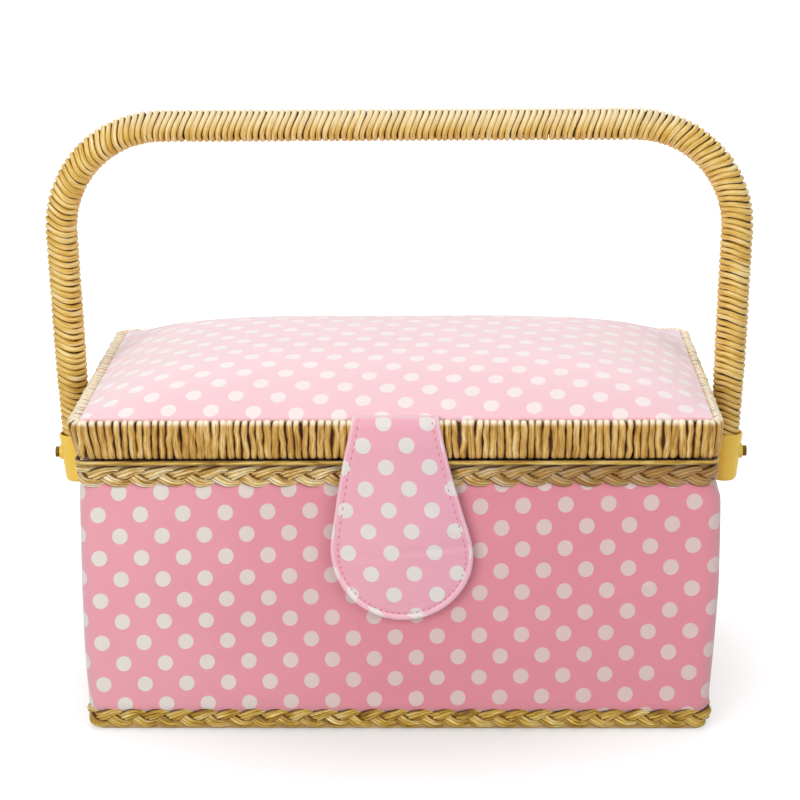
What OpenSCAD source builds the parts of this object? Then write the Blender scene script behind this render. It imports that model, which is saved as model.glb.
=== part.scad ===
// Fabric covered sewing box with a padded hinged lid, a closing tab and a swinging wound handle.
// Millimetres. Origin at the middle of the base on the table, +X right, front towards -Y, +Z up.

/* [Case] */
// Width of the board case, before the fabric
case_w = 272; // [240:1:320]
// Depth of the board case, before the fabric
case_d = 164; // [140:1:200]
// Height of the board walls above the table
case_h = 122; // [110:1:150]
// Thickness of the wall and base boards
board_t = 4; // [3:0.5:6]
// Radius of the case's upright corners
case_corner_r = 6; // [4:0.5:9]
// Thickness of the fabric and its thin foam on the walls
cover_t = 1.8; // [1:0.1:3]
// Thickness of the inside lining
lining_t = 1; // [0.6:0.1:2]

/* [Braids] */
// Height of the braid round the top of the walls
top_braid_h = 10.8; // [8:0.1:14]
// Thickness of the top braid
top_braid_t = 2.6; // [2:0.1:4]
// Height of the braid round the base
base_braid_h = 10.5; // [8:0.1:14]
// Thickness of the base braid
base_braid_t = 2.2; // [1.8:0.1:4]

/* [Lid] */
// How far the wound rim stands out past the board case at each side
rim_side_over = 4; // [3:0.1:8]
// How far the wound rim stands out past the board case at the front
rim_front_over = 5.4; // [4:0.1:9]
// Height of the wound lid rim
rim_h = 18; // [14:0.5:24]
// Radius of the rim's upright corners
rim_corner_r = 7; // [6:0.5:10]
// Thickness of the twine laid round the rim
rim_twine_t = 2.6; // [1.5:0.1:3.4]
// Thickness of the wooden frame inside the rim
frame_t = 3; // [2:0.5:6]
// Thickness of the panel that carries the cushion
panel_t = 3; // [2:0.5:4]
// Rise of the cushion's crown above the rim
crown_h = 15.5; // [6:0.5:20]
// Thickness of the padded lining under the lid
lid_pad_t = 6; // [3:0.5:8]
// Diameter of the cord along the rim's lower edge
edge_cord_d = 2.2; // [1.6:0.1:3]
// Gap between the cord and the braid when the lid is closed
lid_gap = 0.3; // [0.2:0.05:0.6]

/* [Tab] */
// Width of the tab where it leaves the lid
tab_top_w = 37; // [28:1:46]
// Radius of the tab's round end
tab_r = 31; // [24:0.5:38]
// Length of the tab below the top of the rim
tab_len = 90; // [74:1:100]
// Thickness of the padded tab
tab_t = 3; // [2.6:0.1:5]
// Width of the folded edge round the tab
tab_edge_w = 1.4; // [1:0.1:2.5]
// Diameter of the magnet sewn into the tab
magnet_d = 12; // [8:1:16]
// Thickness of the magnet
magnet_t = 1.6; // [1:0.1:2]

/* [Handle] */
// Depth of the pivot screws below the lower edge of the top braid
pivot_drop = 7.6; // [7:0.1:20]
// Height of the middle of the handle's bar above the pivot screws
bar_rise = 152.4; // [135:0.1:190]
// Diameter over the wound twine
grip_d = 15; // [13:0.5:17]
// Diameter over the twine where it enters the sockets
grip_end_d = 13.4; // [12:0.1:13.6]
// Diameter of the twine laid round the handle
handle_twine_d = 2.83; // [2.4:0.01:5]
// Diameter of the rod inside the handle
rod_d = 9.6; // [8:0.1:9.8]
// Radius of the bend at each shoulder, on the rod's middle line
shoulder_r = 47; // [35:1:60]
// Outward lean of the legs in degrees
leg_lean = 1.6; // [0:0.1:3]

/* [Sockets] */
// Gap between the lid's rim and the mouth of each socket, seen from the front
leg_gap = 2.3; // [1.6:0.1:20]
// Outside diameter of the socket's mouth
mouth_d = 16; // [15.6:0.1:18]
// Outside diameter of the socket at its lower end
socket_end_d = 12.6; // [12:0.1:15]
// Height of the socket's mouth above the pivot
socket_up = 9.5; // [8:0.5:14]
// Depth of the socket below the pivot
socket_down = 13.5; // [11:0.5:18]
// Diameter of the boss round the pivot screw
boss_d = 7; // [6:0.1:9]
// Diameter of the pivot screw's shank
screw_d = 4; // [3:0.1:4.4]
// Diameter of the pivot screw's head
screw_head_d = 5; // [4.8:0.1:8]
// Height of the pivot screw's head
screw_head_h = 1.8; // [1.2:0.1:3]
// Radial clearance of the socket on the screw
pivot_gap = 0.05; // [0.02:0.01:0.1]
// Sideways clearance of the socket on the screw
side_gap = 0.1; // [0.05:0.05:0.3]
// Diameter of the spacer between the case and the socket
spacer_d = 11; // [8:0.5:13]
// Width of the nut in the wall, across its corners
nut_d = 7.4; // [6.4:0.1:8.4]
// Thickness of the nut in the wall
nut_t = 2.2; // [1.6:0.1:2.6]

/* [Hinges] */
// Width of each hinge
hinge_w = 30; // [24:1:40]
// Distance from the middle of the case to each hinge
hinge_x = 88; // [60:1:100]
// Diameter of the hinge's knuckles
knuckle_d = 4.8; // [4.6:0.1:6]
// Diameter of the hinge pin
hinge_pin_d = 2.2; // [1.8:0.1:2.6]
// Thickness of the hinge's leaves
leaf_t = 1; // [0.8:0.1:1.4]
// Height of each leaf from the pin
leaf_h = 11; // [9:0.5:13]
// Diameter of the hinge screws' heads
leaf_screw_head_d = 3.8; // [3:0.1:5]
// Diameter of the hinge screws' shanks
leaf_screw_d = 1.8; // [1.4:0.1:2.4]
// Length of the hinge screws below the leaf
leaf_screw_len = 5; // [3:0.1:6]

/* [Tray] */
// Gap between the tray and the lining on each side
tray_gap = 1.5; // [1:0.1:3]
// Height of the tray
tray_h = 32; // [20:1:40]
// Thickness of the tray's walls and floor
tray_wall = 1.6; // [1.2:0.1:2.5]
// Depth of the tray's floor below the top of the walls
tray_drop = 46; // [44:1:70]
// Depth of the long compartment at the front of the tray
tray_front_d = 58; // [40:1:80]
// Number of compartments along the back of the tray
tray_cells = 4; // [2:1:6]
// Width of the ledges that carry the tray
ledge_w = 6; // [4:0.5:10]
// Height of the ledges that carry the tray
ledge_h = 8; // [5:0.5:12]

/* [Hidden] */
$fn = 64;

// Small overlap that lets a cutter run past the face it opens
cut = 1;

// How far a screw's shank runs into its own head
head_lap = 0.2;

// Case: the braid stands a little above the boards, and the lining ends below their top
cover_z = base_braid_h;
braid_proud = 0.4;
lining_set = 1;
braid_top_z = case_h + braid_proud;
braid_z = braid_top_z - top_braid_h;
inner_w = case_w - 2 * board_t;
inner_d = case_d - 2 * board_t;
lining_top_z = case_h - lining_set;
room_w = inner_w - 2 * lining_t;
room_d = inner_d - 2 * lining_t;

// Lid: its back lies in one plane with the back of the top braid, for the hinge leaves
hinge_face_y = case_d / 2 + top_braid_t;
lid_front_y = -case_d / 2 - rim_front_over;
lid_w = case_w + 2 * rim_side_over;
lid_d = hinge_face_y - lid_front_y;
lid_y = hinge_face_y - lid_d / 2;
rim_z = braid_top_z + lid_gap + edge_cord_d;
rim_top_z = rim_z + rim_h;
rim_t = rim_twine_t + frame_t;
panel_z = rim_z + rim_twine_t;
cushion_z = panel_z + panel_t;
cushion_gap = 0.3;
cushion_w = lid_w - 2 * rim_t - 2 * cushion_gap;
cushion_d = lid_d - 2 * rim_t - 2 * cushion_gap;
cord_inset = 1;
pad_side_gap = 4;
pad_z = panel_z - lid_pad_t;

// Hinge
hinge_y = hinge_face_y + knuckle_d / 2;
hinge_z = (braid_top_z + rim_z) / 2;
knuckle_gap = 0.2;
knuckle_len = (hinge_w - 2 * knuckle_gap) / 3;
leaf_screw_x = hinge_w / 4;
leaf_screw_shift = 0.4;
leaf_screw_drop = (leaf_h + knuckle_d / 2) / 2 + leaf_screw_shift;
leaf_screw_head_h = 0.7;
screw_hole_gap = 0.05;

// Tab
tab_gap = 0.3;
tab_back_y = lid_front_y - tab_gap;
tab_end_z = rim_top_z - tab_len;
tab_round_z = tab_end_z + tab_r;
magnet_up = 17;
magnet_z = tab_end_z + magnet_up;
anchor_t = 1.4;
anchor_inset = 0.8;
// The folded edge stops this far below the top of the tab
piping_trim = tab_edge_w / 4;
keeper_t = 1.2;

// Handle: the leg's middle line starts at the pivot, leans out and bends into the bar
leg_x = lid_w / 2 + leg_gap + mouth_d / 2;
pivot_z = braid_z - pivot_drop;
bar_z = pivot_z + bar_rise;
leg_len = (bar_z - shoulder_r * (1 + sin(leg_lean)) - pivot_z) / cos(leg_lean);
bend_turn = 90 + leg_lean;
bend_len = shoulder_r * bend_turn * PI / 180;
bend_x = leg_x + leg_len * sin(leg_lean) - shoulder_r * cos(leg_lean);
rod_start = -9;
// Turned foot of the rod: its length above the pivot, its lap over the rod and its step in radius
foot_len = 14;
foot_lap = 2;
foot_step = 0.05;
rod_sides = 16;
bend_steps = 12;
// Length of winding inside each socket
winding_tuck = 2.5;
winding_start = socket_up - winding_tuck;
half_len = leg_len + bend_len + bend_x;
winding_half = half_len - winding_start;
winding_turns = round(2 * winding_half / handle_twine_d);
winding_pitch = 2 * winding_half / winding_turns;
// Share of the twine's thickness that shows as a groove between two turns
groove_share = 0.24;
groove_depth = groove_share * handle_twine_d;
// Length of leg over which the grip grows from its end diameter to its full diameter
grip_taper = 45;
winding_sides = 8;
bore_gap = 0.2;
winding_bore_r = (rod_d / 2 + bore_gap) / cos(180 / winding_sides);
winding_lead = 0.3;

// Sockets
boss_set = 0.1;
boss_in_x = leg_x - mouth_d / 2 + boss_set;
// The leaning mouth stays inside the boss's outer face
boss_proud = 0.2;
boss_out_x = leg_x + mouth_d / 2 + boss_proud;
case_side_x = case_w / 2 + cover_t;
mouth_wall = 1;
rod_fit = 0.05;
// Room in the mouth below the first turn of twine
mouth_room = 0.5;
// Socket profile: chamfer and rounding of the closed end, foot of the lip, and the lip's own edge
socket_chamfer = 2.5;
socket_round = 0.8;
socket_round_h = 2.6;
lip_foot = 0.5;
lip_foot_in = 0.2;
lip_h = 1;
lip_round = 0.3;

// Tray
tray_z = case_h - tray_drop;
tray_w = room_w - 2 * tray_gap;
tray_d = room_d - 2 * tray_gap;
partition_t = 1.4;
partition_drop = 2;
partition_gap = 0.2;

// A plate with rounded upright corners, standing on z = 0
module plate(w, d, h, r) {
    linear_extrude(h) {
        square([w - 2 * r, d], center = true);
        square([w, d - 2 * r], center = true);
        for (sx = [-1, 1], sy = [-1, 1])
            translate([sx * (w / 2 - r), sy * (d / 2 - r)])
                circle(r);
    }
}

// A rounded band of wall t that stands round a plate of the given size
module band(w, d, h, r, t) {
    difference() {
        plate(w + 2 * t, d + 2 * t, h, r + t);
        translate([0, 0, -cut])
            plate(w, d, h + 2 * cut, r);
    }
}

// Places a child at both hinges
module at_hinges() {
    for (side = [-1, 1])
        translate([side * hinge_x, 0, 0])
            children();
}

// Bores along X through both side walls at the pivot
module pivot_bore(d, x_from, x_to) {
    for (side = [-1, 1])
        translate([side > 0 ? x_from : -x_to, 0, pivot_z])
            rotate([0, 90, 0])
                cylinder(d = d, h = x_to - x_from);
}

// Screw axes of one row of hinge leaves; up is 1 for the lid's leaves and -1 for the case's
module leaf_screw_axes(up, d, y_from, y_to) {
    at_hinges()
        for (side = [-1, 1])
            translate([side * leaf_screw_x, y_to, hinge_z + up * leaf_screw_drop])
                rotate([90, 0, 0])
                    cylinder(d = d, h = y_to - y_from, $fn = 24);
}

module leaf_screw_holes(up) {
    leaf_screw_axes(up, leaf_screw_d + 2 * screw_hole_gap,
        hinge_face_y - leaf_screw_len - screw_hole_gap, hinge_face_y + leaf_t + cut);
}

module case_block() {
    translate([0, 0, board_t])
        plate(case_w, case_d, case_h - board_t, case_corner_r);
}

module nut_pockets() {
    nut_in_x = case_w / 2 - board_t;
    for (side = [-1, 1])
        translate([side > 0 ? nut_in_x - cut : -nut_in_x - nut_t, 0, pivot_z])
            rotate([0, 90, 0])
                cylinder(d = nut_d, h = nut_t + cut, $fn = 6);
}

module side_board(side) {
    difference() {
        intersection() {
            case_block();
            translate([side > 0 ? case_w / 2 - board_t : -case_w / 2 - cut, -case_d, 0])
                cube([board_t + cut, 2 * case_d, case_h + cut]);
        }
        pivot_bore(screw_d + 2 * screw_hole_gap, inner_w / 2 - cut, case_w / 2 + cut);
        nut_pockets();
    }
}

module long_board(side) {
    intersection() {
        case_block();
        translate([-inner_w / 2, side > 0 ? case_d / 2 - board_t : -case_d / 2 - cut, 0])
            cube([inner_w, board_t + cut, case_h + cut]);
    }
}

module base_board() {
    color("tan")
        plate(case_w, case_d, board_t, case_corner_r);
}

module front_board() {
    color("tan")
        difference() {
            long_board(-1);
            keeper_disc(cut);
        }
}

module back_board() {
    color("tan")
        difference() {
            long_board(1);
            leaf_screw_holes(-1);
        }
}

module left_board() {
    color("tan")
        side_board(-1);
}

module right_board() {
    color("tan")
        side_board(1);
}

module body_cover() {
    color("lightpink")
        difference() {
            translate([0, 0, cover_z])
                band(case_w, case_d, braid_z - cover_z, case_corner_r, cover_t);
            pivot_bore(screw_d + 2 * screw_hole_gap, inner_w / 2, case_side_x + cut);
        }
}

module body_lining() {
    color("mistyrose")
        translate([0, 0, board_t])
            difference() {
                translate([-inner_w / 2, -inner_d / 2, 0])
                    cube([inner_w, inner_d, lining_top_z - board_t]);
                translate([-room_w / 2, -room_d / 2, lining_t])
                    cube([room_w, room_d, case_h]);
            }
}

module top_braid() {
    color("burlywood")
        difference() {
            translate([0, 0, braid_z])
                band(case_w, case_d, top_braid_h, case_corner_r, top_braid_t);
            leaf_screw_holes(-1);
        }
}

module base_braid() {
    color("darkkhaki")
        band(case_w, case_d, base_braid_h, case_corner_r, base_braid_t);
}

module tray_ledges() {
    color("wheat")
        for (side = [-1, 1])
            translate([side > 0 ? room_w / 2 - ledge_w : -room_w / 2, -room_d / 2, tray_z - ledge_h])
                cube([ledge_w, room_d, ledge_h]);
}

// Steel disc let into the outside of the front wall, behind the fabric
module keeper_disc(extra) {
    translate([0, -case_d / 2 + keeper_t, magnet_z])
        rotate([90, 0, 0])
            cylinder(d = magnet_d, h = keeper_t + extra);
}

module keeper_plate() {
    color("silver")
        keeper_disc(0);
}

module pivot_screws() {
    color("darkgoldenrod") {
        pivot_bore(screw_d, inner_w / 2, boss_out_x + side_gap + head_lap);
        pivot_bore(screw_head_d, boss_out_x + side_gap, boss_out_x + side_gap + screw_head_h);
    }
}

module pivot_nuts() {
    color("silver")
        difference() {
            intersection() {
                nut_pockets();
                cube([case_w, case_d, 2 * case_h], center = true);
                union() {
                    for (side = [-1, 1])
                        translate([side > 0 ? inner_w / 2 : -case_w / 2, -case_d / 2, 0])
                            cube([board_t, case_d, case_h]);
                }
            }
            pivot_bore(screw_d, inner_w / 2 - cut, case_w / 2);
        }
}

module pivot_spacers() {
    color("ivory")
        difference() {
            pivot_bore(spacer_d, case_side_x, boss_in_x - side_gap);
            pivot_bore(screw_d + 2 * screw_hole_gap, case_side_x - cut, boss_in_x + cut);
        }
}

// One leaf plate; up is 1 for the lid's leaf and -1 for the case's leaf
module leaf_plate(up) {
    z_from = up > 0 ? hinge_z : hinge_z - leaf_h;
    translate([-hinge_w / 2, hinge_face_y, z_from])
        cube([hinge_w, leaf_t, leaf_h]);
}

module knuckle(x_from, len, d) {
    translate([x_from, hinge_y, hinge_z])
        rotate([0, 90, 0])
            cylinder(d = d, h = len);
}

module lower_leaf() {
    difference() {
        union() {
            leaf_plate(-1);
            knuckle(-hinge_w / 2, knuckle_len, knuckle_d);
            knuckle(hinge_w / 2 - knuckle_len, knuckle_len, knuckle_d);
        }
        knuckle(-knuckle_len / 2 - knuckle_gap, knuckle_len + 2 * knuckle_gap, knuckle_d + 2 * knuckle_gap);
        knuckle(-hinge_w / 2 - cut, hinge_w + 2 * cut, hinge_pin_d);
    }
}

module upper_leaf() {
    difference() {
        union() {
            difference() {
                leaf_plate(1);
                knuckle(-hinge_w / 2 - cut, knuckle_len + cut + knuckle_gap, knuckle_d + 2 * knuckle_gap);
                knuckle(hinge_w / 2 - knuckle_len - knuckle_gap, knuckle_len + cut + knuckle_gap,
                    knuckle_d + 2 * knuckle_gap);
            }
            knuckle(-knuckle_len / 2, knuckle_len, knuckle_d);
        }
        knuckle(-hinge_w / 2 - cut, hinge_w + 2 * cut, hinge_pin_d + 2 * pivot_gap);
    }
}

module hinge_lower_leaves() {
    color("goldenrod")
        difference() {
            at_hinges()
                lower_leaf();
            leaf_screw_holes(-1);
        }
}

module hinge_upper_leaves() {
    color("goldenrod")
        difference() {
            at_hinges()
                upper_leaf();
            leaf_screw_holes(1);
        }
}

module hinge_pins() {
    color("gold")
        at_hinges()
            knuckle(-hinge_w / 2, hinge_w, hinge_pin_d);
}

module leaf_screws(up) {
    leaf_screw_axes(up, leaf_screw_d, hinge_face_y - leaf_screw_len, hinge_face_y + leaf_t + head_lap);
    leaf_screw_axes(up, leaf_screw_head_d, hinge_face_y + leaf_t,
        hinge_face_y + leaf_t + leaf_screw_head_h);
}

module hinge_lower_screws() {
    color("gold")
        leaf_screws(-1);
}

module hinge_upper_screws() {
    color("gold")
        leaf_screws(1);
}

// A square cornered opening of the lid, narrower than the rim by t on each side
module lid_hole(t, z_from, z_to) {
    translate([-lid_w / 2 + t, lid_front_y + t, z_from])
        cube([lid_w - 2 * t, lid_d - 2 * t, z_to - z_from]);
}

module frame_block() {
    translate([0, lid_y, panel_z])
        plate(lid_w - 2 * rim_twine_t, lid_d - 2 * rim_twine_t, rim_h - 2 * rim_twine_t,
            rim_corner_r - rim_twine_t);
}

module lid_frame() {
    color("tan")
        difference() {
            frame_block();
            lid_hole(rim_t, rim_z, rim_top_z);
            leaf_screw_holes(1);
        }
}

module lid_panel() {
    color("tan")
        lid_hole(rim_t, panel_z, cushion_z);
}

module lid_rim_winding() {
    color("burlywood")
        difference() {
            translate([0, lid_y, rim_z])
                plate(lid_w, lid_d, rim_h, rim_corner_r);
            frame_block();
            lid_hole(rim_t, rim_z - cut, rim_top_z + cut);
            leaf_screw_holes(1);
        }
}

module lid_edge_cord() {
    cord_r = rim_corner_r - cord_inset - edge_cord_d;
    color("burlywood")
        translate([0, lid_y, rim_z - edge_cord_d])
            band(lid_w - 2 * cord_inset - 2 * edge_cord_d, lid_d - 2 * cord_inset - 2 * edge_cord_d,
                edge_cord_d, cord_r, edge_cord_d);
}

module lid_lining() {
    color("mistyrose")
        translate([-room_w / 2 + pad_side_gap, -room_d / 2 + pad_side_gap, pad_z])
            cube([room_w - 2 * pad_side_gap, room_d - 2 * pad_side_gap, lid_pad_t]);
}

// Cushion form: a crowned top on a grid, straight sides and a flat underside
crown_cols = 28;
crown_rows = 18;
// Steepness of the crown at the ends and at the front and back
crown_power_x = 5.5;
crown_power_y = 5;
// How far the seam is drawn in at the four corners
corner_draw = 0.01;
corner_power = 6;
// Depth by which the sides bulge between the seam and the panel
side_bulge = 0.25;

// Points crowd towards the seam, where the crown is steepest
function crown_step(i, n) = sin(90 * (2 * i / n - 1));
function crown_rise(u, v) = crown_h * (1 - pow(abs(u), crown_power_x)) * (1 - pow(abs(v), crown_power_y));
function drawn(u, v) = 1 - corner_draw * pow(u * v, corner_power);
function crown_point(u, v) = [
    cushion_w / 2 * u * drawn(u, v),
    lid_y + cushion_d / 2 * v * drawn(u, v),
    rim_top_z + cushion_gap + crown_rise(u, v)
];
// The seam runs once round the grid's edge, anticlockwise seen from above
function seam_uv() = concat(
    [for (i = [0 : crown_cols - 1]) [crown_step(i, crown_cols), -1]],
    [for (j = [0 : crown_rows - 1]) [1, crown_step(j, crown_rows)]],
    [for (i = [crown_cols : -1 : 1]) [crown_step(i, crown_cols), 1]],
    [for (j = [crown_rows : -1 : 1]) [-1, crown_step(j, crown_rows)]]
);
function seam_index() = concat(
    [for (i = [0 : crown_cols - 1]) i],
    [for (j = [0 : crown_rows - 1]) j * (crown_cols + 1) + crown_cols],
    [for (i = [crown_cols : -1 : 1]) crown_rows * (crown_cols + 1) + i],
    [for (j = [crown_rows : -1 : 1]) j * (crown_cols + 1)]
);
function side_point(uv, z, out) = [
    (cushion_w / 2 + out) * uv[0] * drawn(uv[0], uv[1]),
    lid_y + (cushion_d / 2 + out) * uv[1] * drawn(uv[0], uv[1]),
    z
];

module lid_cushion() {
    uv = seam_uv();
    seam = seam_index();
    n = len(uv);
    grid = [for (j = [0 : crown_rows]) for (i = [0 : crown_cols])
        crown_point(crown_step(i, crown_cols), crown_step(j, crown_rows))];
    mid = [for (p = uv) side_point(p, (cushion_z + rim_top_z) / 2, side_bulge)];
    low = [for (p = uv) side_point(p, cushion_z, 0)];
    middle = [[0, lid_y, cushion_z]];
    m0 = len(grid);
    l0 = m0 + n;
    c0 = l0 + n;
    top_faces = [for (j = [0 : crown_rows - 1]) for (i = [0 : crown_cols - 1])
        let (a = j * (crown_cols + 1) + i, b = a + 1, c = b + crown_cols + 1, d = c - 1)
        each [[a, c, b], [a, d, c]]];
    upper_faces = [for (k = [0 : n - 1])
        let (a = seam[k], b = seam[(k + 1) % n], c = m0 + (k + 1) % n, d = m0 + k)
        each [[a, b, c], [a, c, d]]];
    lower_faces = [for (k = [0 : n - 1])
        let (a = m0 + k, b = m0 + (k + 1) % n, c = l0 + (k + 1) % n, d = l0 + k)
        each [[a, b, c], [a, c, d]]];
    base_faces = [for (k = [0 : n - 1]) [l0 + k, l0 + (k + 1) % n, c0]];
    color("pink")
        polyhedron(concat(grid, mid, low, middle), concat(top_faces, upper_faces, lower_faces, base_faces));
}

module tab_anchor() {
    color("pink")
        translate([-tab_top_w / 2, lid_front_y + anchor_inset, rim_top_z])
            cube([tab_top_w, rim_t - anchor_inset, anchor_t]);
}

// Outline of the tab, drawn in by the given inset: straight sides that run into the round end
module tab_shape(inset) {
    r = tab_r - inset;
    half = tab_top_w / 2 - inset;
    rise = tab_len - tab_r;
    reach = sqrt(half * half + rise * rise);
    turn = atan2(rise, half) - acos(r / reach);
    touch = [r * cos(turn), r * sin(turn)];
    circle(r);
    polygon([[-half, rise], [-touch[0], touch[1]], [touch[0], touch[1]], [half, rise]]);
}

module tab_slab(inset, y_from, t) {
    translate([0, y_from, tab_round_z])
        rotate([90, 0, 0])
            linear_extrude(t)
                tab_shape(inset);
}

module magnet_disc(extra) {
    translate([0, tab_back_y + extra, magnet_z])
        rotate([90, 0, 0])
            cylinder(d = magnet_d, h = magnet_t + extra);
}

module tab_flap() {
    color("hotpink")
        difference() {
            tab_slab(tab_edge_w, tab_back_y, tab_t);
            magnet_disc(cut);
        }
}

module tab_piping() {
    color("lightpink")
        difference() {
            tab_slab(0, tab_back_y, tab_t);
            tab_slab(tab_edge_w, tab_back_y + cut, tab_t + 2 * cut);
            translate([-tab_top_w, tab_back_y - tab_t - cut, rim_top_z - piping_trim])
                cube([2 * tab_top_w, tab_t + 2 * cut, tab_edge_w]);
        }
}

module tab_magnet() {
    color("silver")
        magnet_disc(0);
}

// Places a child drawn along a leg, with the pivot at its origin and +Z up the leg
module on_leg(side) {
    mirror([side > 0 ? 0 : 1, 0, 0])
        translate([leg_x, 0, pivot_z])
            rotate([0, leg_lean, 0])
                children();
}

// Middle line of the right half of the handle: place and outward normal at distance s from the pivot
function bend_angle(s) = (s - leg_len) / shoulder_r * 180 / PI - leg_lean;
function half_place(s) =
    s < leg_len ? [leg_x + s * sin(leg_lean), pivot_z + s * cos(leg_lean)] :
    s < leg_len + bend_len
        ? [bend_x + shoulder_r * cos(bend_angle(s)), bar_z - shoulder_r + shoulder_r * sin(bend_angle(s))] :
    [bend_x - (s - leg_len - bend_len), bar_z];
function half_normal(s) =
    s < leg_len ? [cos(leg_lean), -sin(leg_lean)] :
    s < leg_len + bend_len ? [cos(bend_angle(s)), sin(bend_angle(s))] :
    [0, 1];
// The left half mirrors the right one; s runs from one pivot to the other
function line_place(s) = s <= half_len ? half_place(s) :
    let (p = half_place(2 * half_len - s)) [-p[0], p[1]];
function line_normal(s) = s <= half_len ? half_normal(s) :
    let (n = half_normal(2 * half_len - s)) [-n[0], n[1]];
function grip_r(s) =
    let (from_end = min(s, 2 * half_len - s) - winding_start)
    (grip_end_d + (grip_d - grip_end_d) * min(1, max(0, from_end / grip_taper))) / 2;
function skin_point(s, r, turn) =
    let (p = line_place(s), n = line_normal(s))
    [p[0] + r * cos(turn) * n[0], r * sin(turn), p[1] + r * cos(turn) * n[1]];

// Stations along the handle's middle line, from one foot to the other
function rod_stations() =
    let (bend = [for (k = [0 : bend_steps]) leg_len + bend_len * k / bend_steps])
    let (half = concat([foot_len - foot_lap], bend))
    concat(half, [for (k = [len(half) - 1 : -1 : 0]) 2 * half_len - half[k]]);

// The bent rod runs into a turned foot at each end, and the feet take the pivot screws
module handle_rod() {
    stations = rod_stations();
    rings = len(stations);
    points = [for (s = stations) for (i = [0 : rod_sides - 1])
        skin_point(s, rod_d / 2 - foot_step, i * 360 / rod_sides)];
    skin = [for (k = [0 : rings - 2]) for (i = [0 : rod_sides - 1])
        let (a = k * rod_sides + i, b = k * rod_sides + (i + 1) % rod_sides)
        each [[a, b + rod_sides, b], [a, a + rod_sides, b + rod_sides]]];
    ends = [
        [for (i = [0 : rod_sides - 1]) i],
        [for (i = [rod_sides - 1 : -1 : 0]) (rings - 1) * rod_sides + i]
    ];
    color("saddlebrown")
        difference() {
            union() {
                polyhedron(points, concat(skin, ends));
                for (side = [-1, 1])
                    on_leg(side)
                        translate([0, 0, rod_start])
                            cylinder(d = rod_d, h = foot_len - rod_start);
            }
            pivot_bore(screw_d + 2 * pivot_gap, leg_x - mouth_d, leg_x + mouth_d);
        }
}

// The same triangles, each wound the other way round
function turned(faces) = [for (f = faces) [f[0], f[2], f[1]]];

// Winding form: one unbroken ridge that climbs round the rod, with a groove between two turns
module handle_winding() {
    sides = winding_sides;
    count = sides * (winding_turns - 1);
    step = 360 / sides;
    s_end = 2 * half_len - winding_start;
    crest = [for (i = [0 : count])
        let (s = winding_start + winding_pitch * i / sides)
        skin_point(s, grip_r(s) - (i < sides || i > count - sides ? groove_depth / 2 : 0), i * step)];
    groove = [for (i = [0 : count - sides])
        let (s = winding_start + winding_pitch * (i / sides + 0.5))
        skin_point(s, grip_r(s) - groove_depth, i * step)];
    s_start = winding_start - winding_lead;
    end_r = grip_end_d / 2 - groove_depth;
    first = [for (i = [0 : sides - 1]) skin_point(s_start, end_r, i * step)];
    last = [for (i = [0 : sides - 1]) skin_point(s_end, end_r, (i + count) * step)];
    inner = rod_stations();
    tube = concat([s_start], [for (k = [1 : len(inner) - 2]) inner[k]], [s_end]);
    bore_rings = len(tube) - 1;
    bore = [for (s = tube) for (i = [0 : sides - 1]) skin_point(s, winding_bore_r, i * step)];
    c0 = 0;
    g0 = len(crest);
    f0 = g0 + len(groove);
    e0 = f0 + sides;
    b0 = e0 + sides;
    ridge_up = [for (i = [0 : count - sides - 1]) each [
        [c0 + i, c0 + i + 1, g0 + i + 1], [c0 + i, g0 + i + 1, g0 + i],
        [g0 + i, g0 + i + 1, c0 + i + 1 + sides], [g0 + i, c0 + i + 1 + sides, c0 + i + sides]]];
    start_skin = concat(
        [for (i = [0 : sides - 1]) let (a = f0 + i, b = f0 + (i + 1) % sides)
            each [[a, b, c0 + i + 1], [a, c0 + i + 1, c0 + i]]],
        [[f0, c0, g0], [f0, g0, c0 + sides]]);
    q = count - sides;
    end_skin = concat(
        [for (i = [0 : sides - 1]) let (a = e0 + i, b = e0 + (i + 1) % sides)
            each [[c0 + q + i, c0 + q + i + 1, b], [c0 + q + i, b, a]]],
        [[c0 + q, e0, c0 + count], [c0 + q, c0 + count, g0 + q]]);
    tube_skin = [for (k = [0 : bore_rings - 1]) for (i = [0 : sides - 1])
        let (a = b0 + k * sides + i, b = b0 + k * sides + (i + 1) % sides, c = b + sides, d = a + sides)
        each [[a, c, b], [a, d, c]]];
    shift = count % sides;
    start_face = [for (i = [0 : sides - 1]) let (j = (i + 1) % sides)
        each [[f0 + i, b0 + i, b0 + j], [f0 + i, b0 + j, f0 + j]]];
    t0 = b0 + bore_rings * sides;
    end_face = [for (i = [0 : sides - 1])
        let (j = (i + 1) % sides, a = t0 + (i + shift) % sides, b = t0 + (j + shift) % sides)
        each [[e0 + i, e0 + j, b], [e0 + i, b, a]]];
    color("burlywood")
        polyhedron(
            concat(crest, groove, first, last, bore),
            turned(concat(ridge_up, start_skin, end_skin, tube_skin, start_face, end_face)));
}

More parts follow.
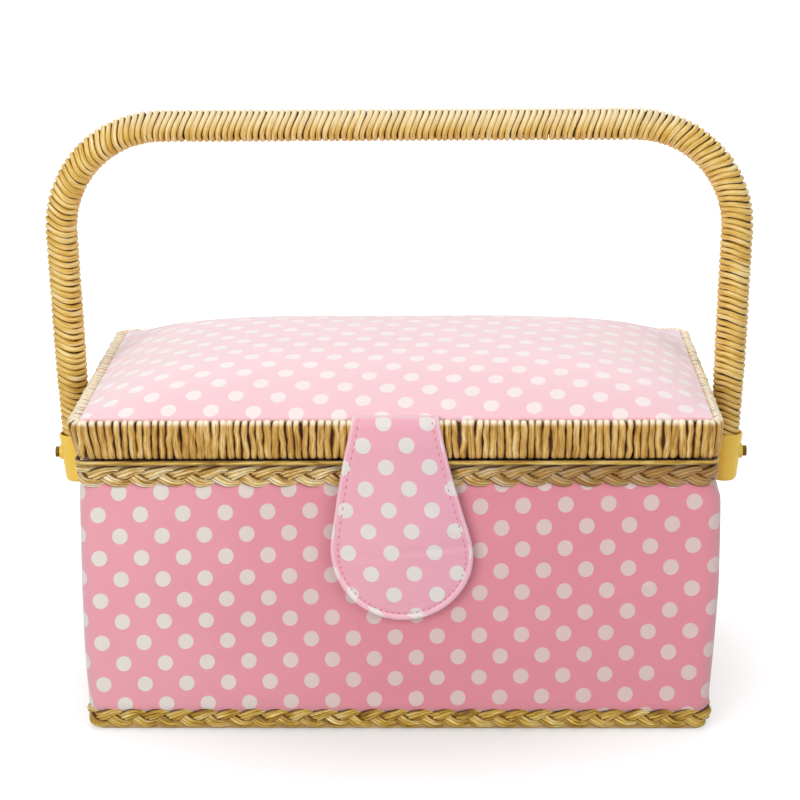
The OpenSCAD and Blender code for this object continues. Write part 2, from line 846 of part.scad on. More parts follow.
module socket(side) {
    difference() {
        union() {
            on_leg(side)
                rotate_extrude()
                    polygon([
                        [0, -socket_down],
                        [socket_end_d / 2 - socket_chamfer, -socket_down],
                        [socket_end_d / 2 - socket_round, -socket_down + socket_round],
                        [socket_end_d / 2, -socket_down + socket_round_h],
                        [mouth_d / 2 - lip_foot_in, -lip_foot],
                        [mouth_d / 2, socket_up - lip_h],
                        [mouth_d / 2 - lip_round, socket_up],
                        [0, socket_up]
                    ]);
            mirror([side > 0 ? 0 : 1, 0, 0])
                translate([boss_in_x, 0, pivot_z])
                    rotate([0, 90, 0])
                        cylinder(d = boss_d, h = boss_out_x - boss_in_x);
        }
        on_leg(side) {
            translate([0, 0, rod_start - rod_fit])
                cylinder(d = rod_d + 2 * rod_fit, h = socket_up - rod_start + cut);
            translate([0, 0, winding_start - mouth_room])
                cylinder(d = mouth_d - 2 * mouth_wall, h = socket_up);
        }
        pivot_bore(screw_d + 2 * pivot_gap, leg_x - mouth_d, leg_x + mouth_d);
    }
}

module socket_left() {
    color("gold")
        socket(-1);
}

module socket_right() {
    color("gold")
        socket(1);
}

// The tray's cross wall lies behind the long front compartment
cross_y = -tray_d / 2 + tray_wall + tray_front_d;
cell_w = (tray_w - 2 * tray_wall) / tray_cells;
cell_d = tray_d / 2 - tray_wall - cross_y - tray_wall;

module tray() {
    color("white", 0.6)
        translate([0, 0, tray_z])
            difference() {
                translate([-tray_w / 2, -tray_d / 2, 0])
                    cube([tray_w, tray_d, tray_h]);
                translate([-tray_w / 2 + tray_wall, -tray_d / 2 + tray_wall, tray_wall])
                    cube([tray_w - 2 * tray_wall, tray_front_d, tray_h]);
                translate([-tray_w / 2 + tray_wall, cross_y + tray_wall, tray_wall])
                    cube([tray_w - 2 * tray_wall, cell_d, tray_h]);
            }
}

module tray_partitions() {
    color("white", 0.8)
        for (k = [1 : tray_cells - 1])
            translate([-tray_w / 2 + tray_wall + k * cell_w - partition_t / 2,
                    cross_y + tray_wall + partition_gap, tray_z + tray_wall])
                cube([partition_t, cell_d - 2 * partition_gap, tray_h - tray_wall - partition_drop]);
}

base_board();
front_board();
back_board();
left_board();
right_board();
body_cover();
body_lining();
top_braid();
base_braid();
tray_ledges();
keeper_plate();
pivot_screws();
pivot_nuts();
pivot_spacers();
hinge_lower_leaves();
hinge_pins();
hinge_lower_screws();
lid_frame();
lid_panel();
lid_cushion();
lid_lining();
lid_rim_winding();
lid_edge_cord();
hinge_upper_leaves();
hinge_upper_screws();
tab_anchor();
tab_flap();
tab_piping();
tab_magnet();
handle_rod();
handle_winding();
socket_left();
socket_right();
tray();
tray_partitions();
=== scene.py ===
import random
from math import atan2, cos, hypot, pi, radians, sin

import bmesh
import bpy
from mathutils import Matrix, Vector, noise


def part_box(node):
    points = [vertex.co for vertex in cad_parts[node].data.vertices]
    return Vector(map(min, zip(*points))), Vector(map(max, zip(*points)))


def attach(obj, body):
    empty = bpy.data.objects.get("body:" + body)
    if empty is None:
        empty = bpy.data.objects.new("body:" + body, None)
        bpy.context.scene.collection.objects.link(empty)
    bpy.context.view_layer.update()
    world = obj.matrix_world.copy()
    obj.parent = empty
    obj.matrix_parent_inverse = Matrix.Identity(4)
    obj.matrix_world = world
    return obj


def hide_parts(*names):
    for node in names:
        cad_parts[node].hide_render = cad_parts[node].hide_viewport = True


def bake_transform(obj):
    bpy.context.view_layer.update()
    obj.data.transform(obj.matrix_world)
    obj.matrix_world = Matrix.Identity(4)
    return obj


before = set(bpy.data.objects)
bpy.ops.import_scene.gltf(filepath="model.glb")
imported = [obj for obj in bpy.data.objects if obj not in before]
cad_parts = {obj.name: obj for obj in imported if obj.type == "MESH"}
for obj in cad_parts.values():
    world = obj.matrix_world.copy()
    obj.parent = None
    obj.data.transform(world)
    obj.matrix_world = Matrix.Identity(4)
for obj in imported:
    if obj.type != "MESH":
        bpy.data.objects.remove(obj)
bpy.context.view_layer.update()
mm = 0.001
world = bpy.context.scene
up = Vector((0, 0, 1))

# camera

view = {
    "place": (24.19, -1083.06, 422.06),  # mm
    "pitch": 15.16,  # degrees down
    "yaw": -1.273,
    "roll": -0.453,
    "lens": 109.28,  # mm on a 36 mm sensor
}


def makeCamera():
    pitch, yaw, roll = (radians(view[k]) for k in ("pitch", "yaw", "roll"))
    forward = Vector((sin(yaw) * cos(pitch), cos(yaw) * cos(pitch), -sin(pitch)))
    right = Vector((cos(yaw), -sin(yaw), 0))
    above = right.cross(forward)
    right, above = right * cos(roll) + above * sin(roll), above * cos(roll) - right * sin(roll)
    data = bpy.data.cameras.new("camera")
    data.lens = view["lens"]
    data.sensor_width = 36
    data.clip_start = 0.01
    camera = bpy.data.objects.new("camera", data)
    turn = Matrix((right, above, -forward)).transposed().to_4x4()
    camera.matrix_world = Matrix.Translation(Vector(view["place"]) * mm) @ turn
    world.collection.objects.link(camera)
    world.camera = camera


makeCamera()
print("camera placed")

# small tools


def smooth(low, high, value):
    t = min(1, max(0, (value - low) / (high - low)))
    return t * t * (3 - 2 * t)


def wobble(x, y=0.0, z=0.0):
    return noise.noise(Vector((x, y, z)))


def loopLength(halfX, halfY, radius):
    return 4 * (halfX + halfY - 2 * radius) + 2 * pi * radius


def loopPoint(s, halfX, halfY, radius, midY=0.0):
    # walks anticlockwise round a rounded rectangle, from the middle of its back
    runX, runY, bend = halfX - radius, halfY - radius, radius * pi / 2
    s = s % loopLength(halfX, halfY, radius)
    corners = [(-runX, runY), (-runX, -runY), (runX, -runY), (runX, runY)]
    starts = [(0, runY)] + corners
    for k, run in enumerate((runX, 2 * runY, 2 * runX, 2 * runY, runX)):
        angle = pi + k * pi / 2
        if s <= run or k == 4:
            out = Vector((sin(angle), -cos(angle), 0))
            along = Vector((cos(angle), sin(angle), 0))
            return Vector((*starts[k], 0)) + along * s + out * radius + Vector((0, midY, 0)), out
        s -= run
        if s <= bend:
            angle += s / radius
            out = Vector((sin(angle), -cos(angle), 0))
            return Vector((*corners[k], 0)) + out * radius + Vector((0, midY, 0)), out
        s -= bend


def rollGrid(bm, steps, sides, place, lay):
    # a grid of steps by sides, each point put where place says, with lay as its UV
    layer = bm.loops.layers.uv.verify()
    made = bmesh.ops.create_grid(bm, x_segments=steps, y_segments=sides, size=1, calc_uvs=False)
    spots = {}
    for vert in made["verts"]:
        t, a = (vert.co.x + 1) / 2, (vert.co.y + 1) / 2
        spots[vert] = (t, a)
        vert.co = place(t, a)
    for face in {f for v in made["verts"] for f in v.link_faces}:
        face.smooth = True
        for loop in face.loops:
            loop[layer].uv = lay(*spots[loop.vert])
    return made["verts"]


def newMesh(layer):
    bm = bmesh.new()
    bm.loops.layers.uv.new(layer)
    return bm


def closeHoles(bm):
    bmesh.ops.holes_fill(bm, edges=[e for e in bm.edges if e.is_boundary], sides=0)


def closeBelow(bm, z):
    # a wall from the open edge down, or up, to a flat face at this height
    made = bmesh.ops.extrude_edge_only(bm, edges=[e for e in bm.edges if e.is_boundary])["geom"]
    for vert in (g for g in made if isinstance(g, bmesh.types.BMVert)):
        vert.co.z = z
    closeHoles(bm)


def makePiece(name, bm, material, body, merge=True):
    if merge:
        bmesh.ops.remove_doubles(bm, verts=bm.verts, dist=1e-6)
    bmesh.ops.recalc_face_normals(bm, faces=bm.faces)
    mesh = bpy.data.meshes.new(name)
    bm.to_mesh(mesh)
    bm.free()
    piece = bpy.data.objects.new(name, mesh)
    world.collection.objects.link(piece)
    mesh.materials.append(material)
    if body:
        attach(piece, body)
    return piece


def addModifier(piece, kind, **settings):
    modifier = piece.modifiers.new(kind.lower(), kind)
    for key, value in settings.items():
        setattr(modifier, key, value)
    return modifier


def thicken(piece, thickness):
    # the cloth's thickness lies behind its face and stays in the mesh
    addModifier(piece, "SOLIDIFY", thickness=thickness * mm, offset=-1)
    graph = bpy.context.evaluated_depsgraph_get()
    mesh = bpy.data.meshes.new_from_object(piece.evaluated_get(graph))
    piece.modifiers.clear()
    piece.data = mesh


# materials


def colour(code):
    channels = [int(code[i:i + 2], 16) / 255 for i in (1, 3, 5)]
    return [c / 12.92 if c <= 0.04045 else ((c + 0.055) / 1.055) ** 2.4 for c in channels] + [1]


def shaded(code, share):
    return [c * share for c in colour(code)[:3]] + [1]


def addNode(material, kind, inputs=None, **settings):
    # the world takes nodes in the same way
    tree = material.node_tree
    node = tree.nodes.new("ShaderNode" + kind)
    for key, value in settings.items():
        setattr(node, key, value)
    for socket, value in (inputs or {}).items():
        if isinstance(value, bpy.types.NodeSocket):
            tree.links.new(value, node.inputs[socket])
        else:
            node.inputs[socket].default_value = value
    return node


def newMaterial(name, roughness, metallic=0.0, ior=1.5, **more):
    material = bpy.data.materials.new(name)
    material.use_nodes = True
    shader = material.node_tree.nodes["Principled BSDF"]
    settings = {"Roughness": roughness, "Metallic": metallic, "IOR": ior}
    settings.update({key.replace("_", " "): value for key, value in more.items()})
    for socket, value in settings.items():
        shader.inputs[socket].default_value = value
    return material, shader


def mathOf(material, operation, *values):
    return addNode(material, "Math", dict(enumerate(values)), operation=operation).outputs["Value"]


def vectorOf(material, operation, *values):
    return addNode(material, "VectorMath", dict(enumerate(values)), operation=operation)


def seenRays(material):
    # 1 for what the camera sees, also by reflection
    paths = addNode(material, "LightPath")
    return mathOf(material, "MAXIMUM", paths.outputs["Is Camera Ray"], paths.outputs["Is Glossy Ray"])


def ranged(material, value, start, end, first=0.0, last=1.0, kind="LINEAR"):
    # start to end becomes first to last
    inputs = {"Value": value, "From Min": start, "From Max": end, "To Min": first, "To Max": last}
    return addNode(material, "MapRange", inputs, interpolation_type=kind).outputs["Result"]


def noiseOf(material, vector, scale, detail, **more):
    inputs = {"Vector": vector, "Scale": scale, "Detail": detail, **more}
    return addNode(material, "TexNoise", inputs).outputs["Fac"]


def mapped(material, vector, scale, turn=0):
    inputs = {"Vector": vector, "Scale": scale, "Rotation": (0, 0, radians(turn))}
    return addNode(material, "Mapping", inputs).outputs["Vector"]


def objectPlace(material):
    return addNode(material, "TexCoord").outputs["Object"]


def uvOf(material, layer):
    return addNode(material, "UVMap", uv_map=layer).outputs["UV"]


def weaveOf(material, vector, operation):
    # warp and weft of a plain weave, one thread in each unit
    inputs = {"Vector": vector, "Scale": 0.5}
    threads = [addNode(material, "TexWave", inputs, bands_direction=way).outputs["Fac"] for way in "XY"]
    return mathOf(material, operation, *threads)


def ramp(material, factor, stops):
    node = addNode(material, "ValToRGB", {"Fac": factor})
    elements = node.color_ramp.elements
    while len(elements) < len(stops):
        elements.new(0.5)
    for element, (position, code) in zip(elements, stops):
        element.position = position
        element.color = colour(code)
    return node.outputs["Color"]


def bumpOf(material, shader, height, distance, strength):
    inputs = {"Height": height, "Distance": distance, "Strength": strength}
    bump = addNode(material, "Bump", inputs)
    material.node_tree.links.new(bump.outputs["Normal"], shader.inputs["Normal"])


def paint(material, shader, colourSocket):
    material.node_tree.links.new(colourSocket, shader.inputs["Base Color"])


def mixed(material, factor, a, b, blend="MIX"):
    node = addNode(material, "Mix", {"Factor": factor}, data_type="RGBA", blend_type=blend)
    for socket, value in ((node.inputs[6], a), (node.inputs[7], b)):
        if isinstance(value, bpy.types.NodeSocket):
            material.node_tree.links.new(value, socket)
        else:
            socket.default_value = value
    return node.outputs[2]


dotPrint = {
    "dot": 6.8,  # mm across
    "pitch": 13.1,  # mm between dots along the slanting rows
    "white": "#E8E1DA",
    "wall": ("#F0A3B1", "#E996A6"),
    # painted light: the tab, lid and fold tones are paler copies of the wall's cloth
    "tab": ("#F3AFBF", "#ECA2B4"),
    "lid": ("#F9CFD8", "#F5C5D0"),
    "fold": ("#FFCBD7", "#FFBDCC"),
    "thread": 0.62,  # mm, twice the real spacing so that it shows
    "soft": 0.012,  # share of the pitch over which a dot's edge fades
}


def makeDottedCotton(name, tones, white, rightShade):
    # printed plain weave cotton: dull, with a pale bloom at low angles and flat white dots,
    # and painted shade that darkens it towards the right end
    pale, deep = tones
    material, shader = newMaterial(name, 0.66, Sheen_Weight=0.8, Sheen_Roughness=0.55)
    cloth = uvOf(material, "cloth")
    cell = vectorOf(material, "FRACTION", cloth).outputs["Vector"]
    off = vectorOf(material, "SUBTRACT", cell, (0.5, 0.5, 0)).outputs["Vector"]
    reach = vectorOf(material, "LENGTH", off).outputs["Value"]
    edge, soft = dotPrint["dot"] / 2 / dotPrint["pitch"], dotPrint["soft"]
    dot = ranged(material, reach, edge - soft, edge + soft, 1.0, 0.0, "SMOOTHSTEP")
    place = objectPlace(material)
    ground = mixed(material, noiseOf(material, place, 22, 3), colour(pale), colour(deep))
    printed = mixed(material, dot, ground, colour(white))
    start, end, shadeTint = rightShade
    # painted shade: from start to end along x the print is multiplied by a darker tint
    across = addNode(material, "SeparateXYZ", {"Vector": place}).outputs["X"]
    shadeShare = ranged(material, across, start, end, kind="SMOOTHSTEP")
    paint(material, shader, mixed(material, shadeShare, printed, colour(shadeTint), "MULTIPLY"))
    threads = dotPrint["pitch"] / dotPrint["thread"]
    weave = weaveOf(material, mapped(material, cloth, (threads, threads, 1), 45), "ADD")
    bumpOf(material, shader, weave, 0.00008, 0.5)
    return material


def makeTwine(name, stops, dark, fibre=0.6, shine=0.42, depth=0.00018, girth=0.009, fold=0.9,
              crest=(-0.1, 0.75), spread=0.34, lobes=0, paintedBands=()):
    # twisted paper twine: waxy fibres along it, pale crests, and painted shade in brown down the sides of
    # each turn where the turns meet
    material, shader = newMaterial(name, shine, Sheen_Weight=0.05, Sheen_Roughness=0.5,
                                   Specular_IOR_Level=0.3)
    strand = uvOf(material, "strand")
    twist = mapped(material, strand, (170, girth * 1000 / fibre, 1), 9)
    fibres = noiseOf(material, twist, 1, 3, Roughness=0.65)
    patches = noiseOf(material, mapped(material, strand, (60, 3.4, 1)), 1, 1)
    tone = ranged(material, mathOf(material, "ADD", fibres, patches), 1 - spread, 1 + spread)
    lit = ramp(material, tone, stops)
    # v is 0 on the outer crest and a quarter at the sides of the strand
    across = addNode(material, "SeparateXYZ", {"Vector": strand}).outputs["Y"]
    turned = mathOf(material, "MULTIPLY", across, 2 * pi)
    # painted shade: the twine goes to the dark tone down its sides, by fold at most, where shade falls
    # between the turns
    gapShade = ranged(material, mathOf(material, "COSINE", turned), *crest, fold, 0.0, "SMOOTHSTEP")
    if lobes:
        # painted shade: dark grooves between the twines that lie side by side in one strand
        swing = mathOf(material, "MULTIPLY", mathOf(material, "SINE", turned), lobes * pi)
        grooveShade = ranged(material, mathOf(material, "COSINE", swing), -1.0, -0.3, 0.65, 0.0)
        gapShade = mathOf(material, "MAXIMUM", gapShade, grooveShade)
    # each band paints light or shade on the twine, fading it to another tone along one axis: axis, from m,
    # to m, tone, most
    axes = addNode(material, "SeparateXYZ", {"Vector": objectPlace(material)})
    for axis, start, end, code, most in paintedBands:
        share = ranged(material, axes.outputs[axis], start, end, 0.0, most, "SMOOTHSTEP")
        lit = mixed(material, share, lit, colour(code))
    paint(material, shader, mixed(material, gapShade, lit, colour(dark)))
    bumpOf(material, shader, fibres, depth, 0.9)
    return material


def makeWood(name, pale, dark, grain=1.6):
    # sawn softwood: long brown grain lines on a pale ground
    material, shader = newMaterial(name, 0.62)
    along = mapped(material, objectPlace(material), (40, 1000 / grain, 1000 / grain))
    lines = noiseOf(material, along, 1, 4, Distortion=0.4)
    paint(material, shader, ramp(material, lines, [(0.3, dark), (0.65, pale)]))
    bumpOf(material, shader, lines, 0.0001, 0.5)
    return material


def makeMoulded(name, code, roughness, grit=0.5, ior=1.49):
    # moulded plastic: even colour with the mould's fine grain in its gloss
    material, shader = newMaterial(name, roughness, ior=ior)
    place = objectPlace(material)
    cloud = noiseOf(material, place, 60, 1)
    paint(material, shader, mixed(material, cloud, colour(code), shaded(code, 0.86)))
    bumpOf(material, shader, noiseOf(material, place, 1000 / grit, 2), 0.00003, 0.6)
    return material


def makeMetal(name, code, roughness, scratch=0.3):
    # drawn or stamped metal with fine rubbing marks along it
    material, shader = newMaterial(name, roughness, metallic=1.0)
    along = mapped(material, objectPlace(material), (120, 1000 / scratch, 1000 / scratch))
    marks = noiseOf(material, along, 1, 3)
    paint(material, shader, mixed(material, marks, colour(code), shaded(code, 0.72)))
    rough = ranged(material, marks, 0.0, 1.0, roughness * 0.8, roughness * 1.25)
    material.node_tree.links.new(rough, shader.inputs["Roughness"])
    bumpOf(material, shader, marks, 0.00002, 0.5)
    return material


def makePlainCloth(name, pale, deep, thread=0.7):
    # plain lining cotton: matt, with an open weave
    material, shader = newMaterial(name, 0.88, Sheen_Weight=0.2, Sheen_Roughness=0.5)
    threads = mapped(material, uvOf(material, "cloth"), (1000 / thread, 1000 / thread, 1))
    weave = weaveOf(material, threads, "MULTIPLY")
    paint(material, shader, ramp(material, weave, [(0.0, deep), (0.6, pale)]))
    bumpOf(material, shader, weave, 0.0001, 0.5)
    return material


# painted shade darkens the wall's, the lid's and the tab's cloth towards the right end, and the lid, tab and
# fold tones are paler copies of the wall's cloth as painted light, the folds palest
tabRightShade = (-0.02, 0.03, "#FAFAFF")
dottedCotton = makeDottedCotton("dottedCotton", dotPrint["wall"], dotPrint["white"], (-0.12, 0.0, "#F4DEE2"))
litLidCotton = makeDottedCotton("litLidCotton", dotPrint["lid"], "#F9EDEC", (-0.14, 0.0, "#FDF7F9"))
litTabCotton = makeDottedCotton("litTabCotton", dotPrint["tab"], dotPrint["white"], tabRightShade)
litFoldedCotton = makeDottedCotton("litFoldedCotton", dotPrint["fold"], "#F8EFEC", tabRightShade)
# painted highlight: the rim and the handle are paler along their tops
paperTwine = makeTwine("paperTwine", [
    (0.0, "#8A5C18"), (0.3, "#BC8C3A"), (0.6, "#DDB262"), (1.0, "#FBE6AE")], "#744408", fold=0.95,
    crest=(0.2, 1.02), paintedBands=(("Z", 0.1403, 0.1425, "#FFF2D6", 0.95),))
handlePaper = makeTwine("handlePaper", [
    (0.0, "#B88C30"), (0.3, "#D9AD48"), (0.6, "#F0CD78"), (1.0, "#FFF2C4")], "#8A5C16", fold=0.8,
    crest=(-0.1, 0.8), paintedBands=(("Z", 0.2535, 0.2635, "#FBEFD2", 0.6),))
# painted shade: the top plait is browner towards its right end
plait = {"girth": 0.016, "fibre": 0.8, "fold": 1.0, "crest": (0.25, 1.0), "spread": 0.27, "lobes": 3}
plaitStraw = makeTwine("plaitStraw", [
    (0.0, "#9A6C22"), (0.3, "#D9AC58"), (0.6, "#FFE29C"), (1.0, "#FFFBE6")], "#5A3206",
    paintedBands=(("X", -0.02, 0.09, "#9C6A2C", 0.7),), **plait)
baseStraw = makeTwine("baseStraw", [
    (0.0, "#7C5610"), (0.3, "#BC922E"), (0.6, "#E6BE58"), (1.0, "#FFEBA6")], "#4A2A04", **plait)
stitchThread = makePlainCloth("stitchThread", "#E88BA4", "#D97A96", 0.5)
liningCotton = makePlainCloth("liningCotton", "#F6E3E2", "#EBCFD0")
boxBoard = makeWood("boxBoard", "#C9A878", "#A9824F")
ledgePine = makeWood("ledgePine", "#E0C294", "#C29A62")
# the cane rod is dark brown, partly as its own colour and partly as painted shade for the gaps between the
# handle's turns
caneAndGapShade = makeWood("caneAndGapShade", "#5E3B18", "#3F240C", 0.8)
# painted shade for the gaps in the rim winding
gapShadeFrame = makeWood("gapShadeFrame", "#74491C", "#4E2C0E", 1.2)
bronzedSteel = makeMetal("bronzedSteel", "#6B5220", 0.38)
brightSteel = makeMetal("brightSteel", "#B9BBBD", 0.32)
stampedBrass = makeMetal("stampedBrass", "#C9A24A", 0.34)
nylonWhite = makeMoulded("nylonWhite", "#E9E4D6", 0.45, ior=1.53)
socketYellow = makeMoulded("socketYellow", "#FFD64E", 0.34, 0.7)
trayPlastic = makeMoulded("trayPlastic", "#F1EFEA", 0.36, 0.8)

slotMaterials = {
    "board": boxBoard, "dotted_fabric": dottedCotton, "folded_edge": litFoldedCotton,
    "lining": liningCotton, "paper_twine": paperTwine, "base_straw": baseStraw,
    "ledge_wood": ledgePine, "steel": brightSteel, "screw_bronze": bronzedSteel,
    "nylon": nylonWhite, "hinge_brass": stampedBrass, "rod_cane": caneAndGapShade,
    "socket_plastic": socketYellow, "tray_plastic": trayPlastic,
}
print("materials made")

# body cover

coverCloth = {
    "corner": 7.8,
    "bulge": 0.9,  # mm that the foam stands out at mid height
    "rightSwell": 2.4,  # mm that the right side stands out more near its top
    "edge": 0.06,  # share of the height over which the swell dies out under a braid
    "fold": 1.3,  # mm that the tucked edges lie in
    "clear": 0.15,  # mm that the face stays inside the solid
    "tuck": 2.5,  # mm of cloth under the braids
    "soft": 0.6,  # mm of slow swell in the cloth
    # creases on the front, mm: x and z of both ends, then height
    "creases": ((83, 58, 123, 72, 0.3), (-108, 109, -105, 88, 0.35), (-96, 40, -64, 33, 0.2),
                (30, 26, 62, 36, 0.2), (-52, 84, -38, 108, 0.2)),
    "creaseWide": 1.3,
    "columns": 600,
    "rows": 66,
    "thickness": 1.5,
    "dots": ((18.39, 0.42), (0.15, 19.6), (-1.2, 4.78)),  # mm: step along a row, up a column, one dot
}


def dotUv(u, v, dots):
    # cloth millimetres to cells of the staggered dot print, one dot in the middle of each
    row, column, dot = (Vector(d) for d in dots)
    rise, fall = (row + column) / 2, (column - row) / 2
    off = Vector((u, v)) - dot
    size = rise.x * fall.y - rise.y * fall.x
    return ((off.x * fall.y - off.y * fall.x) / size + 0.5, (rise.x * off.y - rise.y * off.x) / size + 0.5)


def makeBodyCover():
    low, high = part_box("body_cover")
    halfX, halfY = high.x, high.y
    corner = coverCloth["corner"] * mm
    length = loopLength(halfX, halfY, corner)
    tuck, fold = coverCloth["tuck"] * mm, coverCloth["fold"]
    bottom, top = low.z - tuck, high.z + tuck

    def creaseAt(x, z):
        rise = 0.0
        for fromX, fromZ, toX, toZ, tall in coverCloth["creases"]:
            run = Vector((toX - fromX, toZ - fromZ))
            off = Vector((x - fromX, z - fromZ))
            share = off.dot(run) / run.length_squared
            away = (off.x * run.y - off.y * run.x) / run.length / coverCloth["creaseWide"]
            rise += tall * smooth(0, 0.35, share) * (1 - smooth(0.65, 1, share)) * (
                2 ** (-away * away) - 0.6 * 2 ** (-(away - 1.6) ** 2))
        return rise

    def place(t, h):
        spot, out = loopPoint(t * length, halfX, halfY, corner)
        z = bottom + (top - bottom) * h
        share = min(1, max(0, (z - low.z) / (high.z - low.z)))
        topEdge = smooth(0, coverCloth["edge"], 1 - share)
        puff = coverCloth["bulge"] * (4 * share * (1 - share)) ** 0.6
        puff += coverCloth["rightSwell"] * max(0, out.x) * smooth(0.05, 0.8, share) * topEdge
        folded = -fold * (1 - smooth(low.z - tuck, low.z, z)) - fold * smooth(high.z, high.z + tuck, z)
        ease = smooth(0, coverCloth["edge"], share) * topEdge
        soft = coverCloth["soft"] * ease * (
            wobble(spot.x * 16, spot.y * 16, z * 34) + 0.7 * wobble(spot.x * 45, spot.y * 45, z * 16 + 7))
        if out.y < -0.99:
            soft += creaseAt(spot.x / mm, z / mm)
        return spot + out * (puff + folded + soft - coverCloth["clear"]) * mm + up * z

    bm = newMesh("cloth")
    rollGrid(bm, coverCloth["columns"], coverCloth["rows"], place, lambda t, h: dotUv(
        (t - 0.5) * length / mm, (bottom + (top - bottom) * h) / mm, coverCloth["dots"]))
    piece = makePiece("cloth_cover", bm, dottedCotton, None)
    thicken(piece, coverCloth["thickness"])
    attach(piece, "box")
    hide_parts("body_cover")


makeBodyCover()
print("body cover made")

# lid cushion

cushionPad = {
    "columns": 84,
    "rows": 56,
    "crown": 17.0,  # mm, the stuffing swells 1.5 mm above the solid
    "seamDrop": 0.1,  # mm that the seam lies below the top of the rim
    "sideLap": 1.4,  # mm that the pad rests on the rim at each side
    "frontLap": 0.5,
    "powerX": 5.5,
    "powerY": 5.0,
    "pucker": 0.35,  # mm, small pulls along the seam
    "soft": 0.35,  # mm of slow swell in the stuffing
    "cap": 2.0,  # mm that the simulation may move a point from the crown
    "start": 0.93,  # share of the crown that the simulation starts from
    "pressure": 4.0,
    "frames": 20,
    "dots": ((18.36, -1.1), (2.2, 18.1), (5.0, 5.5)),
}


def crownAt(u, v):
    return cushionPad["crown"] * (1 - abs(u) ** cushionPad["powerX"]) * (1 - abs(v) ** cushionPad["powerY"])


def crownArc(share, half, rise, power):
    # cloth length from the middle to this share of the half width
    total, last = 0.0, (0.0, rise)
    for k in range(1, 41):
        t = share * k / 40
        point = (t * half, rise * (1 - abs(t) ** power))
        total += hypot(point[0] - last[0], point[1] - last[1])
        last = point
    return total if share >= 0 else -total


def settleCloth(piece, pinned):
    # air pressure rounds the cover while its seam is held
    group = piece.vertex_groups.new(name="seam")
    group.add(pinned, 1.0, "REPLACE")
    modifier = addModifier(piece, "CLOTH")
    modifier.settings.vertex_group_mass = "seam"
    modifier.settings.use_pressure = True
    modifier.settings.uniform_pressure_force = cushionPad["pressure"]
    modifier.settings.quality = 6
    modifier.settings.tension_stiffness = 40
    modifier.settings.compression_stiffness = 8
    modifier.settings.bending_stiffness = 0.6
    modifier.settings.effector_weights.gravity = 0
    modifier.collision_settings.use_collision = False
    for step in range(1, cushionPad["frames"] + 1):
        world.frame_set(step)
    graph = bpy.context.evaluated_depsgraph_get()
    settled = bpy.data.meshes.new_from_object(piece.evaluated_get(graph))
    points = [v.co.copy() for v in settled.vertices]
    bpy.data.meshes.remove(settled)
    piece.modifiers.clear()
    piece.vertex_groups.clear()
    world.frame_set(1)
    return points


def makeLidCushion():
    low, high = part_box("lid_cushion")
    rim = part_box("lid_rim_winding")
    midY = (low.y + high.y) / 2
    halfX = (high.x - low.x) / 2 / mm + cushionPad["sideLap"]
    halfY = (high.y - low.y) / 2 / mm + cushionPad["frontLap"]
    seamZ = rim[1].z / mm - cushionPad["seamDrop"]
    start = cushionPad["start"]

    def share(t):
        # columns and rows crowd towards the seam
        return sin((t - 0.5) * pi * 0.98) / sin(pi * 0.49)

    def place(a, b, rise=start):
        u, v = share(a), share(b)
        return Vector((u * halfX, midY / mm + v * halfY, seamZ + rise * crownAt(u, v))) * mm

    def lay(a, b):
        u, v = share(a), share(b)
        across = crownArc(u, halfX, crownAt(0, v), cushionPad["powerX"])
        along = crownArc(v, halfY, crownAt(u, 0), cushionPad["powerY"])
        return dotUv(across, along, cushionPad["dots"])

    bm = newMesh("cloth")
    rollGrid(bm, cushionPad["columns"], cushionPad["rows"], place, lay)
    piece = makePiece("lid_pad", bm, litLidCotton, None, merge=False)
    edge = [v.index for v in piece.data.vertices if abs(v.co.z / mm - seamZ) < 1e-3]
    crown = [v.co.copy() for v in piece.data.vertices]
    crown = settleCloth(piece, edge)
    held = set(edge)
    for vert, settled in zip(piece.data.vertices, crown):
        u, v = vert.co.x / mm / halfX, (vert.co.y - midY) / mm / halfY
        wanted = Vector((vert.co.x, vert.co.y, (seamZ + crownAt(u, v)) * mm))
        move = settled - wanted
        if move.length > cushionPad["cap"] * mm:
            move.length = cushionPad["cap"] * mm
        if vert.index in held:
            continue
        near = max(abs(u), abs(v))
        pull = cushionPad["pucker"] * smooth(0.72, 0.94, near) * (1 - smooth(0.97, 1.0, near))
        spot = wanted + move
        along = spot.y if abs(u) > abs(v) else spot.x
        spot.z += pull * mm * wobble(along * 130, 3.1 if abs(u) > abs(v) else 9.2)
        swell = cushionPad["soft"] * mm * wobble(spot.x * 22, spot.y * 30, 4.4)
        spot.z += swell * (1 - smooth(0.8, 1.0, near))
        vert.co = spot
    bm = bmesh.new()
    bm.from_mesh(piece.data)
    closeBelow(bm, low.z)
    bmesh.ops.recalc_face_normals(bm, faces=bm.faces)
    bm.to_mesh(piece.data)
    bm.free()
    addModifier(piece, "SUBSURF", levels=1, render_levels=1, boundary_smooth="PRESERVE_CORNERS")
    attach(piece, "lid")
    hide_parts("lid_cushion")


makeLidCushion()
print("lid cushion made")

# rim winding

rimTwine = {
    "pitch": 3.22,  # mm between turns
    "thick": 2.6,
    "corner": 7.0,
    "deep": 5.6,  # mm that a turn reaches in from the outer face
    "bend": 1.5,  # radius of a turn's middle line at its corners
    "widths": (1.1, 1.5),  # half width over half thickness, least and most
    "push": (-0.2, 0.35),  # mm that a turn lies in or out
    "lean": 0.4,  # mm that a turn leans to either side
    "wave": 0.6,  # mm that a turn wanders sideways
    "swell": 0.18,  # share by which a turn's thickness varies
    "flare": 0.9,  # mm that the rim's top stands out and its foot lies in
    "leftFlare": 1.3,  # mm that the left end opens further
    "leftEnd": (108, 133),  # mm left of the middle where the front's turns start to slant, and slant most
    "gaps": (-92, -26, 27, 66, 113),  # x mm on the front where turns stand apart
    "gapWide": 0.75,
    "gapReach": 3.0,  # mm to each side over which turns are pushed apart
    "cornerThin": 0.75,  # share that a turn loses on the inside of a corner
    "steps": 26,
    "sides": 8,
    "seed": 12,
}


